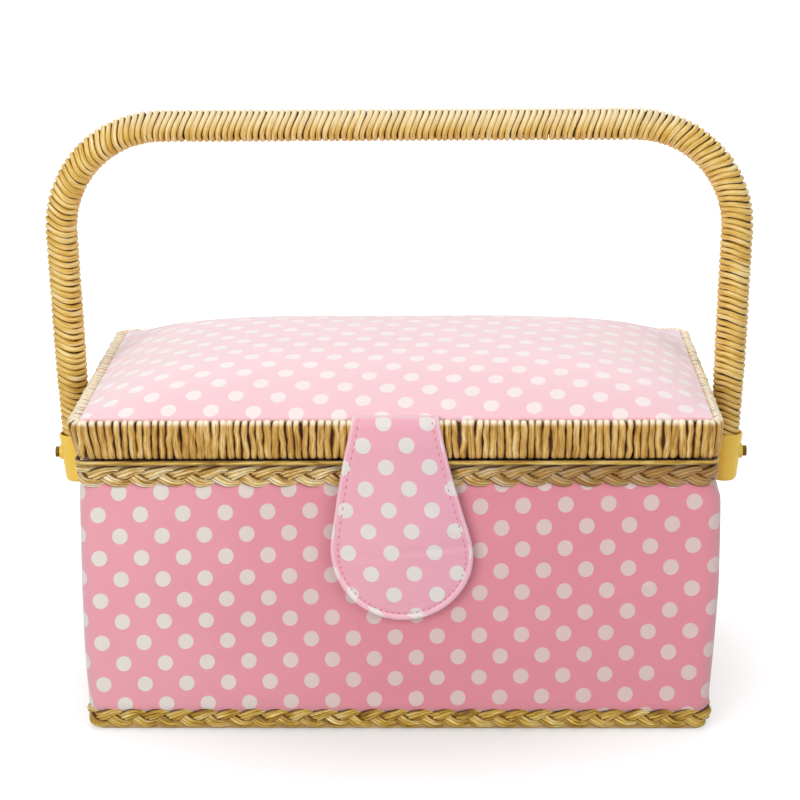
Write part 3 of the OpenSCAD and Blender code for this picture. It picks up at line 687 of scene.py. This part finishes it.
def makeRimTwine():
    low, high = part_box("lid_rim_winding")
    halfX, halfY = (high.x - low.x) / 2, (high.y - low.y) / 2
    midY = (high.y + low.y) / 2
    corner = rimTwine["corner"] * mm
    length = loopLength(halfX, halfY, corner)
    turns = round(length / mm / rimTwine["pitch"])
    pitch = length / turns
    half = rimTwine["thick"] / 2 * mm
    rng = random.Random(rimTwine["seed"])
    # the turn's middle line in depth from the outer face and height
    inner, bend = rimTwine["deep"] * mm - half, rimTwine["bend"] * mm
    wide, tall = (inner - half) / 2, (high.z - low.z) / 2 - half
    midDepth, midZ = (inner + half) / 2, (high.z + low.z) / 2
    around = loopLength(wide, tall, bend)
    bm = newMesh("strand")
    for k in range(turns):
        s = (k + 0.5 + 0.10 * (rng.random() - 0.5)) * pitch
        spot, out = loopPoint(s, halfX, halfY, corner, midY)
        along = up.cross(out)
        width = half * rng.uniform(*rimTwine["widths"])
        depthPush = rng.uniform(*rimTwine["push"]) * mm
        seed = rng.uniform(0, 400)
        lean = rng.uniform(-rimTwine["lean"], rimTwine["lean"]) * mm
        slide = rng.uniform(0, 50)
        leftEnd = rimTwine["leftFlare"] * smooth(0.05, 1.0, -out.x)
        parted = slant = 0.0
        if out.y < -0.99:
            slant = rimTwine["leftFlare"] * mm * smooth(*rimTwine["leftEnd"], -spot.x / mm)
            for gap in rimTwine["gaps"]:
                off = (spot.x / mm - gap) / rimTwine["gapReach"]
                parted += rimTwine["gapWide"] * mm * (1 if off > 0 else -1) * 2 ** (-off * off)
        # turns crowd on the inside of the corners, so they thin there
        inCorner = abs(out.x) > 1e-3 and abs(out.y) > 1e-3

        def place(t, a):
            point, normal = loopPoint(t * around, wide, tall, bend)
            drift = rimTwine["wave"] * mm * (wobble(seed + t * 5) + 0.4 * wobble(seed + 9 + t * 13))
            drift += (lean - slant) * (point.y / tall)
            drift += parted * 2 ** (-((point.y / tall - 0.1) / 0.5) ** 2)
            swell = 1 + rimTwine["swell"] * wobble(seed + 50 + t * 9)
            angle = 2 * pi * a
            flare = (rimTwine["flare"] + leftEnd) * mm * (point.y / tall)
            depth = midDepth - point.x + (depthPush - flare) * (1 if point.x > 0 else 0)
            thin = 1 - (rimTwine["cornerThin"] * smooth(1.5 * mm, 5 * mm, depth) if inCorner else 0)
            ring = normal * cos(angle) * half * swell
            side = (drift + sin(angle) * width * swell) * thin
            return spot - out * (depth - ring.x) + along * side + up * (midZ + point.y + ring.y)

        rollGrid(bm, rimTwine["steps"], rimTwine["sides"], place, lambda t, a: (t * around + slide, a))
    piece = makePiece("rim_twine", bm, paperTwine, "lid")
    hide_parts("lid_rim_winding")


makeRimTwine()
print("rim twine made")

# cord under the rim

edgeCord = {"corner": 6.0, "steps": 520, "sides": 10, "wave": 0.18}


def makeEdgeCord():
    low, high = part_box("lid_edge_cord")
    radius = (high.z - low.z) / 2
    halfX, halfY = (high.x - low.x) / 2 - radius, (high.y - low.y) / 2 - radius
    midY, midZ = (high.y + low.y) / 2, (high.z + low.z) / 2
    corner = edgeCord["corner"] * mm - radius
    length = loopLength(halfX, halfY, corner)

    def place(t, a):
        spot, out = loopPoint(t * length, halfX, halfY, corner, midY)
        ring = 2 * pi * t
        swell = radius * (1 + 0.12 * wobble(40 * cos(ring), 40 * sin(ring), 2))
        drift = edgeCord["wave"] * mm * wobble(14 * cos(ring), 14 * sin(ring), 8)
        angle = 2 * pi * a
        return spot + out * (cos(angle) * swell + drift) + up * (midZ + sin(angle) * swell)

    bm = newMesh("strand")
    rollGrid(bm, edgeCord["steps"], edgeCord["sides"], place, lambda t, a: (t * length, a))
    # the cord takes the darker base straw, shade painted into its colour so that it reads as the brown line
    # under the rim
    piece = makePiece("edge_cord", bm, baseStraw, "lid")
    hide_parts("lid_edge_cord")


makeEdgeCord()
print("edge cord made")

# braids: sway and weave are how far a strand swings up and down, and in and out, in mm

topPlait = {
    "corner": 8.6, "periods": 24, "steps": 32, "sides": 20,
    "sway": 2.9, "weave": 1.5, "halfWide": 2.7, "halfThick": 1.5,
    "ridges": 0.28, "rough": 0.3, "pinch": 0.3, "proud": 0.6, "seed": 5,
}
basePlait = {
    "corner": 8.2, "periods": 27, "steps": 28, "sides": 20,
    "sway": 2.8, "weave": 1.4, "halfWide": 2.55, "halfThick": 1.45,
    "ridges": 0.28, "rough": 0.3, "pinch": 0.3, "proud": 0.5, "seed": 9,
}


def makePlait(name, node, material, plait, floor=None):
    low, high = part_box(node)
    corner = plait["corner"] * mm
    depth = (plait["weave"] + plait["halfThick"] - plait["proud"]) * mm
    halfX, halfY = high.x - depth, high.y - depth
    corner -= depth
    midZ = (low.z + high.z) / 2
    length = loopLength(halfX, halfY, corner)
    steps = plait["periods"] * plait["steps"]
    rng = random.Random(plait["seed"])
    bm = newMesh("strand")
    sway, weave = plait["sway"] * mm, plait["weave"] * mm
    for k in range(3):
        phase = 2 * pi * k / 3
        seed = rng.uniform(0, 90)

        def place(t, a):
            s = t * length
            spot, out = loopPoint(s, halfX, halfY, corner)
            along = up.cross(out)
            theta = 2 * pi * plait["periods"] * t + phase
            ring = 2 * pi * t
            x, y = 26 * cos(ring), 26 * sin(ring)
            z = sway * sin(theta) * (1 + 0.12 * wobble(x, y, seed))
            slope = sway * cos(theta) * 2 * pi * plait["periods"] / length
            tilt = atan2(slope, 1)
            over = weave * sin(2 * theta)
            across = up * cos(tilt) - along * sin(tilt)
            angle = 2 * pi * a
            # the strand is three twines side by side, so its section has soft ridges
            lobed = 1 + plait["ridges"] * cos(3 * pi * sin(angle))
            swell = 1 + plait["rough"] * wobble(3.1 * x, 3.1 * y, seed + 20 + 2 * cos(angle))
            wide = plait["halfWide"] * mm * (1 + 0.14 * wobble(2 * x, 2 * y, seed + 40))
            pinch = 1 - plait["pinch"] * abs(sin(theta)) ** 3
            return (spot + out * (over + cos(angle) * plait["halfThick"] * mm * lobed * swell)
                    + up * (midZ + z) + across * sin(angle) * wide * pinch)

        # a strand is about a tenth longer than the braid
        rollGrid(bm, steps, plait["sides"], place, lambda t, a: (t * length * 1.1 + seed, a))
    if floor is not None:
        for vert in bm.verts:
            vert.co.z = max(vert.co.z, floor)
    piece = makePiece(name, bm, material, "box")
    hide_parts(node)


makePlait("top_plait", "top_braid", plaitStraw, topPlait)
makePlait("base_plait", "base_braid", baseStraw, basePlait, floor=0.0)
print("braids made")

# handle winding

handleWrap = {
    "turns": 197,
    "steps": 22,  # points in each turn
    "sides": 8,
    "radius": 7.5,
    "endRadius": 6.7,
    "taper": 45.0,
    "strand": 1.3,  # half thickness
    "pivotZ": 104.0, "legX": 150.3, "lean": 1.6, "bendRadius": 47.0, "barZ": 256.4,
    "start": 6.7,  # mm along the leg from the pivot
    "ridge": 0.022,
    "kinks": (0.14, 0.46),  # parts of a turn where the strand changes its slant
    "kinkReach": 0.05,
    "slopes": (0.4, 1.4),  # pitches that the strand falls back in a turn, and climbs between the kinks
}


def handleFrame(s):
    # place, direction and outward normal at s mm along the handle from the left pivot
    h = handleWrap
    lean = radians(h["lean"])
    legLength = (h["barZ"] - h["bendRadius"] * (1 + sin(lean)) - h["pivotZ"]) / cos(lean)
    bendX = h["legX"] + legLength * sin(lean) - h["bendRadius"] * cos(lean)
    bendLength = h["bendRadius"] * (pi / 2 + lean)
    half = legLength + bendLength + bendX
    mirrored = s > half
    if mirrored:
        s = 2 * half - s
    if s <= legLength:
        spot = Vector((-h["legX"] - s * sin(lean), 0, h["pivotZ"] + s * cos(lean)))
        turn = -lean
    elif s <= legLength + bendLength:
        turn = (s - legLength) / h["bendRadius"] - lean
        spot = Vector((-bendX - h["bendRadius"] * cos(turn), 0,
                       h["barZ"] - h["bendRadius"] + h["bendRadius"] * sin(turn)))
    else:
        turn = pi / 2
        spot = Vector((-bendX + s - legLength - bendLength, 0, h["barZ"]))
    ahead = Vector((sin(turn), 0, cos(turn)))
    out = Vector((-cos(turn), 0, sin(turn)))
    if mirrored:
        spot.x, ahead.z, out.x = -spot.x, -ahead.z, -out.x
    return spot, ahead, out, 2 * half


def makeHandleTwine():
    h = handleWrap
    total = handleFrame(0)[3]
    first, last = h["start"], total - h["start"]
    pitch = (last - first - 2.4) / h["turns"]
    front = Vector((0, -1, 0))

    def middle(turn):
        # one turn runs from the inner side by the front, the outer side and the back
        part = turn % 1
        creep = -h["slopes"][0] * part + h["slopes"][1] * smooth(*h["kinks"], part)
        s = first + 1.2 + pitch * (int(turn) + creep)
        s += 0.35 * wobble(turn * 2.3, 1.7) + 0.25 * wobble(turn * 0.9, 5.1)
        spot, ahead, out, _ = handleFrame(s)
        angle = 2 * pi * part
        edge = min(s - first, last - s)
        radius = h["endRadius"] + (h["radius"] - h["endRadius"]) * smooth(0, h["taper"], edge)
        radius *= 1 + h["ridge"] * (cos(4 * (angle - pi / 2)) - 1)
        radius += 0.14 * wobble(turn * 3.1, 9.9) - h["strand"]
        arm = -out * cos(angle) + front * sin(angle)
        return spot, ahead, arm, radius

    def place(t, a):
        turn = t * h["turns"] * 0.99999
        spot, ahead, arm, radius = middle(turn)
        angle = 2 * pi * a
        kink = sum(2 ** (-((turn % 1 - at) / h["kinkReach"]) ** 2) for at in h["kinks"])
        wide = pitch / 2 * (1.04 + 0.16 * wobble(turn * 2.7, 31.0) - 0.16 * kink)
        thick = h["strand"] * (1 + 0.10 * wobble(turn * 1.9, 17.0))
        return (spot + arm * (radius + cos(angle) * thick) + ahead * sin(angle) * wide) * mm

    bm = newMesh("strand")
    rollGrid(bm, h["turns"] * h["steps"], h["sides"], place,
             lambda t, a: (t * h["turns"] * 44 * mm, a))
    bmesh.ops.remove_doubles(bm, verts=bm.verts, dist=1e-6)
    closeHoles(bm)
    piece = makePiece("handle_twine", bm, handlePaper, "handle", merge=False)
    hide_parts("handle_winding")


makeHandleTwine()
print("handle twine made")

# closing tab

tabCloth = {
    "halfTop": 18.5,
    "round": 30.5,
    "thick": 2.6,
    "thinTop": 0.7,
    "cloth": 1.0,  # mm, the face's own thickness
    "gap": (0.3, 0.15),  # mm in front of the rim and over it
    "rows": 96,
    "columns": 40,
    "bend": 2.2,  # radius over the rim's front edge
    "tuck": 1.3,  # radius where the strip turns down under the pad
    "underPad": 2.4,  # mm that the strip reaches under the pad
    "lean": 2.8,  # mm that the round end hangs to the right
    "dome": 0.6,
    "stitchIn": 2.9,
    "stitchStep": 2.7,
    "stitchLong": 1.5,
    "outlineStep": 0.8,
    "roundSteps": 110,
    # drop, slope, first and last share of the half width, depth and width of each crease
    "creases": ((58, -0.1, -0.15, 1.0, 0.5, 1.3), (29, 0.72, 0.2, 0.9, 0.35, 1.6),
                (61, 0.05, -0.9, -0.2, 0.3, 1.6), (17, -0.15, 0.1, 0.95, 0.25, 1.5)),
    "dots": ((18.61, 0.14), (-1.0, 19.16), (1.9, 8.55)),
}


def makeTab():
    t = tabCloth
    rimLow, rimHigh = (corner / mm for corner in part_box("lid_rim_winding"))
    whole = rimHigh.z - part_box("tab_flap")[0].z / mm
    rimFront, rimTop = rimLow.y - t["gap"][0], rimHigh.z + t["gap"][1]
    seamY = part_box("lid_cushion")[0].y / mm + t["underPad"]
    centre = whole - t["round"]
    tangent = (t["halfTop"] ** 2 + centre ** 2 - t["round"] ** 2) ** 0.5
    angle = atan2(centre, -t["halfTop"]) - atan2(t["round"], tangent)
    meet = Vector((t["halfTop"] + cos(angle) * tangent, sin(angle) * tangent))
    frontArc = t["bend"] * pi / 4
    flat = (seamY - t["tuck"]) - (rimFront + t["bend"])
    backArc = t["tuck"] * 1.45
    first = -(frontArc + flat + backArc)

    def halfWidth(drop):
        if drop < meet.y:
            return t["halfTop"] + (meet.x - t["halfTop"]) * max(0, drop) / meet.y
        return max(0.0, t["round"] ** 2 - (drop - centre) ** 2) ** 0.5

    def edgeDistance(x, drop):
        if drop > meet.y:
            return t["round"] - hypot(x, drop - centre)
        return (halfWidth(drop) - abs(x)) * 0.97

    def path(drop):
        # the tab's back: out of the seam, over the rim and straight down in front of it
        if drop < -(frontArc + flat):
            turn = -(drop + frontArc + flat) / t["tuck"]
            out = Vector((0, sin(turn), cos(turn)))
            return Vector((0, seamY - t["tuck"], rimTop - t["tuck"])) + out * t["tuck"], out
        if drop < -frontArc:
            return Vector((0, rimFront + t["bend"] - drop - frontArc, rimTop)), up.copy()
        if drop < frontArc:
            turn = (drop + frontArc) / t["bend"]
            out = Vector((0, -sin(turn), cos(turn)))
            return Vector((0, rimFront + t["bend"], rimTop - t["bend"])) + out * t["bend"], out
        return Vector((0, rimFront, rimTop - t["bend"] - drop + frontArc)), Vector((0, -1, 0))

    def leanAt(drop):
        return t["lean"] * smooth(14, 72, drop)

    def thickAt(drop):
        return t["thinTop"] + (t["thick"] - t["thinTop"]) * smooth(-2, 12, drop)

    def front(x, drop, lift=0.0):
        # a point of the tab's face at x mm from its middle
        spot, out = path(drop)
        inside = edgeDistance(x, drop)
        side = x / max(1, halfWidth(drop))
        rise = thickAt(drop) - 0.7 * (1 - smooth(0, 1.5, inside))
        rise -= 0.3 * (1 - smooth(0.2, 1.0, abs(inside - t["stitchIn"])))
        hang = smooth(12, 45, drop)
        rise += t["dome"] * hang * smooth(0, 16, inside)
        rise += hang * smooth(0, 8, inside) * (0.5 * wobble(x * 0.06, drop * 0.05, 2.2)
                                               + 0.3 * wobble(x * 0.12, drop * 0.1, 6.1))
        for start, slope, fromSide, toSide, deep, wide in t["creases"]:
            off = (drop - start - slope * x) / wide
            window = smooth(fromSide - 0.05, fromSide + 0.3, side)
            window *= 1 - smooth(toSide - 0.1, toSide + 0.1, side)
            rise += deep * window * (2 ** (-(off - 1.2) ** 2) * 0.6 - 2 ** (-off * off))
        return spot + Vector((x + leanAt(drop), 0, 0)) + out * (rise + lift)

    def spread(c):
        u = 2 * c - 1
        return 0.4 * sin(u * pi / 2) + 0.6 * u

    def dropAt(h):
        return first + (whole - first - 0.02) * sin(h * pi / 2) ** 0.9

    def lay(h, c):
        drop = dropAt(h)
        return dotUv(spread(c) * halfWidth(drop) + leanAt(drop), rimHigh.z - drop, t["dots"])

    bm = newMesh("cloth")
    rollGrid(bm, t["rows"], t["columns"],
             lambda h, c: front(spread(c) * halfWidth(dropAt(h)), dropAt(h)) * mm, lay)
    cloth = makePiece("tab_cloth", bm, litTabCotton, None)
    # the faces look away from the rim before they get a thickness
    if sum(f.normal.y for f in cloth.data.polygons) > 0:
        cloth.data.flip_normals()
    thicken(cloth, t["cloth"])

    # the outline runs down the left side, round the end and up the right side
    sideCount, roundCount = int((meet.y - first) / t["outlineStep"]), t["roundSteps"]
    left = [Vector((-halfWidth(d), d)) for d in
            (first + (meet.y - first) * k / sideCount for k in range(sideCount))]
    fromAngle = atan2(meet.y - centre, -meet.x) % (2 * pi)
    toAngle = pi - fromAngle
    bottom = [Vector((cos(a) * t["round"], centre + sin(a) * t["round"])) for a in
              (fromAngle + (toAngle - fromAngle) * k / roundCount for k in range(roundCount + 1))]
    outline = left + bottom + [Vector((-p.x, p.y)) for p in reversed(left)]

    def inward(k):
        ahead = outline[min(k + 1, len(outline) - 1)] - outline[max(k - 1, 0)]
        return Vector((ahead.y, -ahead.x)).normalized()

    def edgePlace(f, a):
        k = int(round(f * (len(outline) - 1)))
        point, inner = outline[k], inward(k)
        half = thickAt(point.y) / 2
        wide = 0.95 + 0.75 * smooth(50, 80, point.y)
        wide *= 1 + 0.1 * wobble(f * 40, 3.3)
        angle = 2 * pi * a
        flat = point + inner * (wide * 0.8 + cos(angle) * wide)
        spot, out = path(flat.y)
        lift = half + sin(angle) * (half + 0.2)
        return (spot + Vector((flat.x + leanAt(point.y), 0, 0)) + out * lift) * mm

    def edgeLay(f, a):
        point = outline[int(round(f * (len(outline) - 1)))]
        return dotUv(point.x + leanAt(point.y) + 3 * cos(2 * pi * a), rimHigh.z - point.y, t["dots"])

    bm = newMesh("cloth")
    rollGrid(bm, len(outline) - 1, 12, edgePlace, edgeLay)
    bmesh.ops.remove_doubles(bm, verts=bm.verts, dist=1e-6)
    closeHoles(bm)
    edge = makePiece("tab_edge", bm, litFoldedCotton, None, merge=False)

    bm = newMesh("cloth")
    gone = 0.0
    for k in range(sideCount // 12, len(outline) - sideCount // 12):
        gone += (outline[k] - outline[k - 1]).length
        if gone < t["stitchStep"]:
            continue
        gone = 0.0
        ends = []
        for n in (k - 1, k + 1):
            point = outline[n] + inward(n) * t["stitchIn"]
            ends.append(front(point.x, point.y, 0.12))
        middle = (ends[0] + ends[1]) / 2
        ahead = (ends[1] - ends[0]).normalized()
        out = path(outline[k].y)[1]
        side = ahead.cross(out).normalized()
        turn = Matrix((ahead, side, ahead.cross(side))).transposed().to_4x4()
        size = Matrix.Diagonal((t["stitchLong"] / 2, 0.24, 0.2, 1))
        bmesh.ops.create_uvsphere(bm, u_segments=6, v_segments=4, radius=1,
                                  matrix=Matrix.Scale(mm, 4) @ Matrix.Translation(middle) @ turn @ size)
    for face in bm.faces:
        face.smooth = True
    stitches = makePiece("tab_stitches", bm, stitchThread, None, merge=False)

    for piece in (cloth, edge, stitches):
        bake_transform(piece)
    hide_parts("tab_flap", "tab_anchor")
    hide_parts("tab_piping")


makeTab()
print("tab made")

# sockets and pivots

# mm from the pivot, along the leg and, for the boss, across the box
socketShell = {
    "mouthR": 8.0, "endR": 6.3, "up": 9.5, "down": 13.5, "wall": 1.0,
    "bossR": 3.5, "bossIn": 142.4, "bossOut": 158.5,
}


def turnProfile(bm, points, axis=up, centre=(0, 0, 0), steps=48):
    # spins a profile of (radius, height) round the axis
    side = Vector((1, 0, 0)) if abs(axis.x) < 0.5 else Vector((0, 1, 0))
    verts = [bm.verts.new(Vector(centre) + side * r + axis * z) for r, z in points]
    edges = [bm.edges.new(pair) for pair in zip(verts, verts[1:])]
    bmesh.ops.spin(bm, geom=verts + edges, cent=centre, axis=axis, angle=2 * pi, steps=steps, use_merge=True)
    bmesh.ops.remove_doubles(bm, verts=bm.verts, dist=1e-5)


def makeSocket(name, side):
    s = socketShell
    bm = bmesh.new()
    profile = [(0, -s["down"]), (s["endR"] - 2.2, -s["down"]), (s["endR"] - 1.0, -s["down"] + 0.35),
               (s["endR"] - 0.3, -s["down"] + 1.1), (s["endR"], -s["down"] + 2.3)]
    for k in range(1, 8):
        share = k / 8
        profile.append((s["endR"] + (s["mouthR"] - s["endR"]) * share,
                        -s["down"] + 2.3 + (s["up"] + s["down"] - 3.0) * share))
    profile += [(s["mouthR"] + 0.05, s["up"] - 0.7), (s["mouthR"], s["up"] - 0.25),
                (s["mouthR"] - 0.4, s["up"]), (s["mouthR"] - s["wall"] + 0.2, s["up"] - 0.15),
                (s["mouthR"] - s["wall"], s["up"] - 0.8), (s["mouthR"] - s["wall"] - 0.3, s["up"] - 6),
                (0, s["up"] - 6.2)]
    turnProfile(bm, profile)
    bmesh.ops.rotate(bm, verts=bm.verts, cent=(0, 0, 0),
                     matrix=Matrix.Rotation(radians(handleWrap["lean"] * side), 3, "Y"))
    bmesh.ops.translate(bm, verts=bm.verts,
                        vec=(side * handleWrap["legX"], 0, handleWrap["pivotZ"]))
    boss = bmesh.new()
    turnProfile(boss, [(0, s["bossIn"]), (s["bossR"] - 0.3, s["bossIn"]), (s["bossR"], s["bossIn"] + 0.3),
                       (s["bossR"], s["bossOut"] - 0.5), (s["bossR"] - 0.15, s["bossOut"] - 0.15),
                       (s["bossR"] - 0.5, s["bossOut"]), (0, s["bossOut"])],
                axis=Vector((1, 0, 0)), steps=32)
    bmesh.ops.scale(boss, vec=(side, 1, 1), verts=boss.verts)
    bmesh.ops.translate(boss, verts=boss.verts, vec=(0, 0, handleWrap["pivotZ"]))
    mesh = bpy.data.meshes.new("boss")
    boss.to_mesh(mesh)
    boss.free()
    bm.from_mesh(mesh)
    bpy.data.meshes.remove(mesh)
    bmesh.ops.scale(bm, vec=(mm, mm, mm), verts=bm.verts)
    for face in bm.faces:
        face.smooth = True
    piece = makePiece(name + "_shell", bm, socketYellow, "handle")
    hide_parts(name)


makeSocket("socket_left", -1)
makeSocket("socket_right", 1)
print("sockets made")

# inside: lining and lid pad

liningFold = {
    "wallShare": 0.8,  # share of the mesh rows that lies on the walls
    "rise": 1.5,  # mm above the walls' lining
    "reach": 5.0,  # mm over the boards
    "clear": (0.7, 0.9),  # mm that the cloth's face lies off the solid's side and its floor
    "corner": 3,
    "thickness": 0.8,
}


def makeLining():
    low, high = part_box("body_lining")
    side, under = (gap * mm for gap in liningFold["clear"])
    halfX, halfY, corner = high.x - side, high.y - side, liningFold["corner"] * mm
    length = loopLength(halfX, halfY, corner)
    floorZ, topZ = low.z + under, high.z

    def place(t, h):
        # up the walls, then over the top of the boards to the braid
        spot, out = loopPoint(t * length, halfX, halfY, corner)
        wall, over = min(1, h / liningFold["wallShare"]), smooth(liningFold["wallShare"], 1, h)
        z = floorZ + (topZ - floorZ) * wall + liningFold["rise"] * mm * sin(over * pi / 2) ** 0.5
        soft = 0.18 * wobble(spot.x * 30, spot.y * 30, z * 40) - 0.12
        return spot + out * (soft + liningFold["reach"] * over) * mm + up * z

    bm = newMesh("cloth")
    rollGrid(bm, 260, 24, place, lambda t, h: (t * length, floorZ + (topZ - floorZ) * h))
    bmesh.ops.remove_doubles(bm, verts=bm.verts, dist=1e-6)
    rim = [e for e in bm.edges if e.is_boundary and e.verts[0].co.z < floorZ + 1e-5]
    bmesh.ops.holes_fill(bm, edges=rim, sides=0)
    piece = makePiece("cloth_lining", bm, liningCotton, None, merge=False)
    if sum(f.normal.z for f in piece.data.polygons) < 0:
        piece.data.flip_normals()
    thicken(piece, liningFold["thickness"])
    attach(piece, "box")
    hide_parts("body_lining")


def makeLidPad():
    # quilted in diamonds of 36 mm
    low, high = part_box("lid_lining")
    halfX, halfY = high.x, (high.y - low.y) / 2
    deep, quilt = high.z - low.z, 36 * mm

    def place(a, b):
        u, v = sin((a - 0.5) * pi), sin((b - 0.5) * pi)
        edge = (1 - abs(u) ** 9) * (1 - abs(v) ** 7)
        diamond = abs(sin(pi * (u * halfX + v * halfY) / quilt))
        diamond *= abs(sin(pi * (u * halfX - v * halfY) / quilt))
        rise = deep * (0.25 + 0.75 * edge ** 0.5) * (0.72 + 0.28 * diamond ** 0.4)
        return Vector((u * halfX, (high.y + low.y) / 2 + v * halfY, high.z - rise))

    bm = newMesh("cloth")
    rollGrid(bm, 120, 76, place, lambda a, b: (a * 2 * halfX, b * 2 * halfY))
    closeBelow(bm, high.z)
    piece = makePiece("lid_lining_pad", bm, liningCotton, "lid", merge=False)
    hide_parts("lid_lining")


makeLining()
makeLidPad()
print("lining made")

# finishes of the carried nodes

for nodeName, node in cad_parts.items():
    slotName = node.data.materials[0].name.split(".")[0]
    # the lid frame gets a dark brown wood as painted shade, so that the gaps between the rim's turns read
    # dark
    node.data.materials[0] = gapShadeFrame if nodeName == "lid_frame" else slotMaterials[slotName]
print("finishes set")

# floor and light


def makeFloor():
    bm = bmesh.new()
    bmesh.ops.create_grid(bm, x_segments=8, y_segments=8, size=4)
    mesh = bpy.data.meshes.new("floor")
    bm.to_mesh(mesh)
    bm.free()
    floor = bpy.data.objects.new("floor", mesh)
    floor.location.z = -0.0004
    world.collection.objects.link(floor)
    # matt paper: the camera sees it white with the box's shadow, other rays see a pale grey
    material, shader = newMaterial("paleFloor", 0.9, Specular_IOR_Level=0.0)
    seen = seenRays(material)
    paint(material, shader, mixed(material, seen, colour("#C4C4C2"), colour("#BFBFBF")))
    shader.inputs["Emission Color"].default_value = (1, 1, 1, 1)
    reach = vectorOf(material, "LENGTH", objectPlace(material)).outputs["Value"]
    glow = mathOf(material, "MULTIPLY", seen, ranged(material, reach, 0.1, 0.26, 0.42, 0.9))
    material.node_tree.links.new(glow, shader.inputs["Emission Strength"])
    mesh.materials.append(material)


# name, place and size in m, watts
lamps = (
    ("overhead", (-0.3, 0.0, 1.9), 1.3, 9.0),
    ("fill", (-1.0, -1.8, 0.9), 1.2, 20.0),
    ("right", (1.4, -1.6, 0.9), 1.2, 10.0),
    ("back", (0.1, 1.7, 1.2), 1.6, 13.0),
)


def makeLights():
    for name, place, size, power in lamps:
        data = bpy.data.lights.new(name, "AREA")
        data.size = size
        data.energy = power
        lamp = bpy.data.objects.new(name, data)
        lamp.location = place
        lamp.visible_camera = False
        aim = Vector((0, 0, 0.12)) - Vector(place)
        lamp.rotation_euler = aim.to_track_quat("-Z", "Y").to_euler()
        world.collection.objects.link(lamp)
    sky = bpy.data.worlds.new("studio")
    world.world = sky
    sky.use_nodes = True
    sky.node_tree.nodes.clear()
    strength = ranged(sky, seenRays(sky), 0.0, 1.0, 0.44, 1.0)
    back = addNode(sky, "Background", {"Color": (1, 1, 1, 1), "Strength": strength})
    addNode(sky, "OutputWorld", {"Surface": back.outputs["Background"]})


makeFloor()
makeLights()
world.view_settings.view_transform = "Standard"
print("floor and lights made")
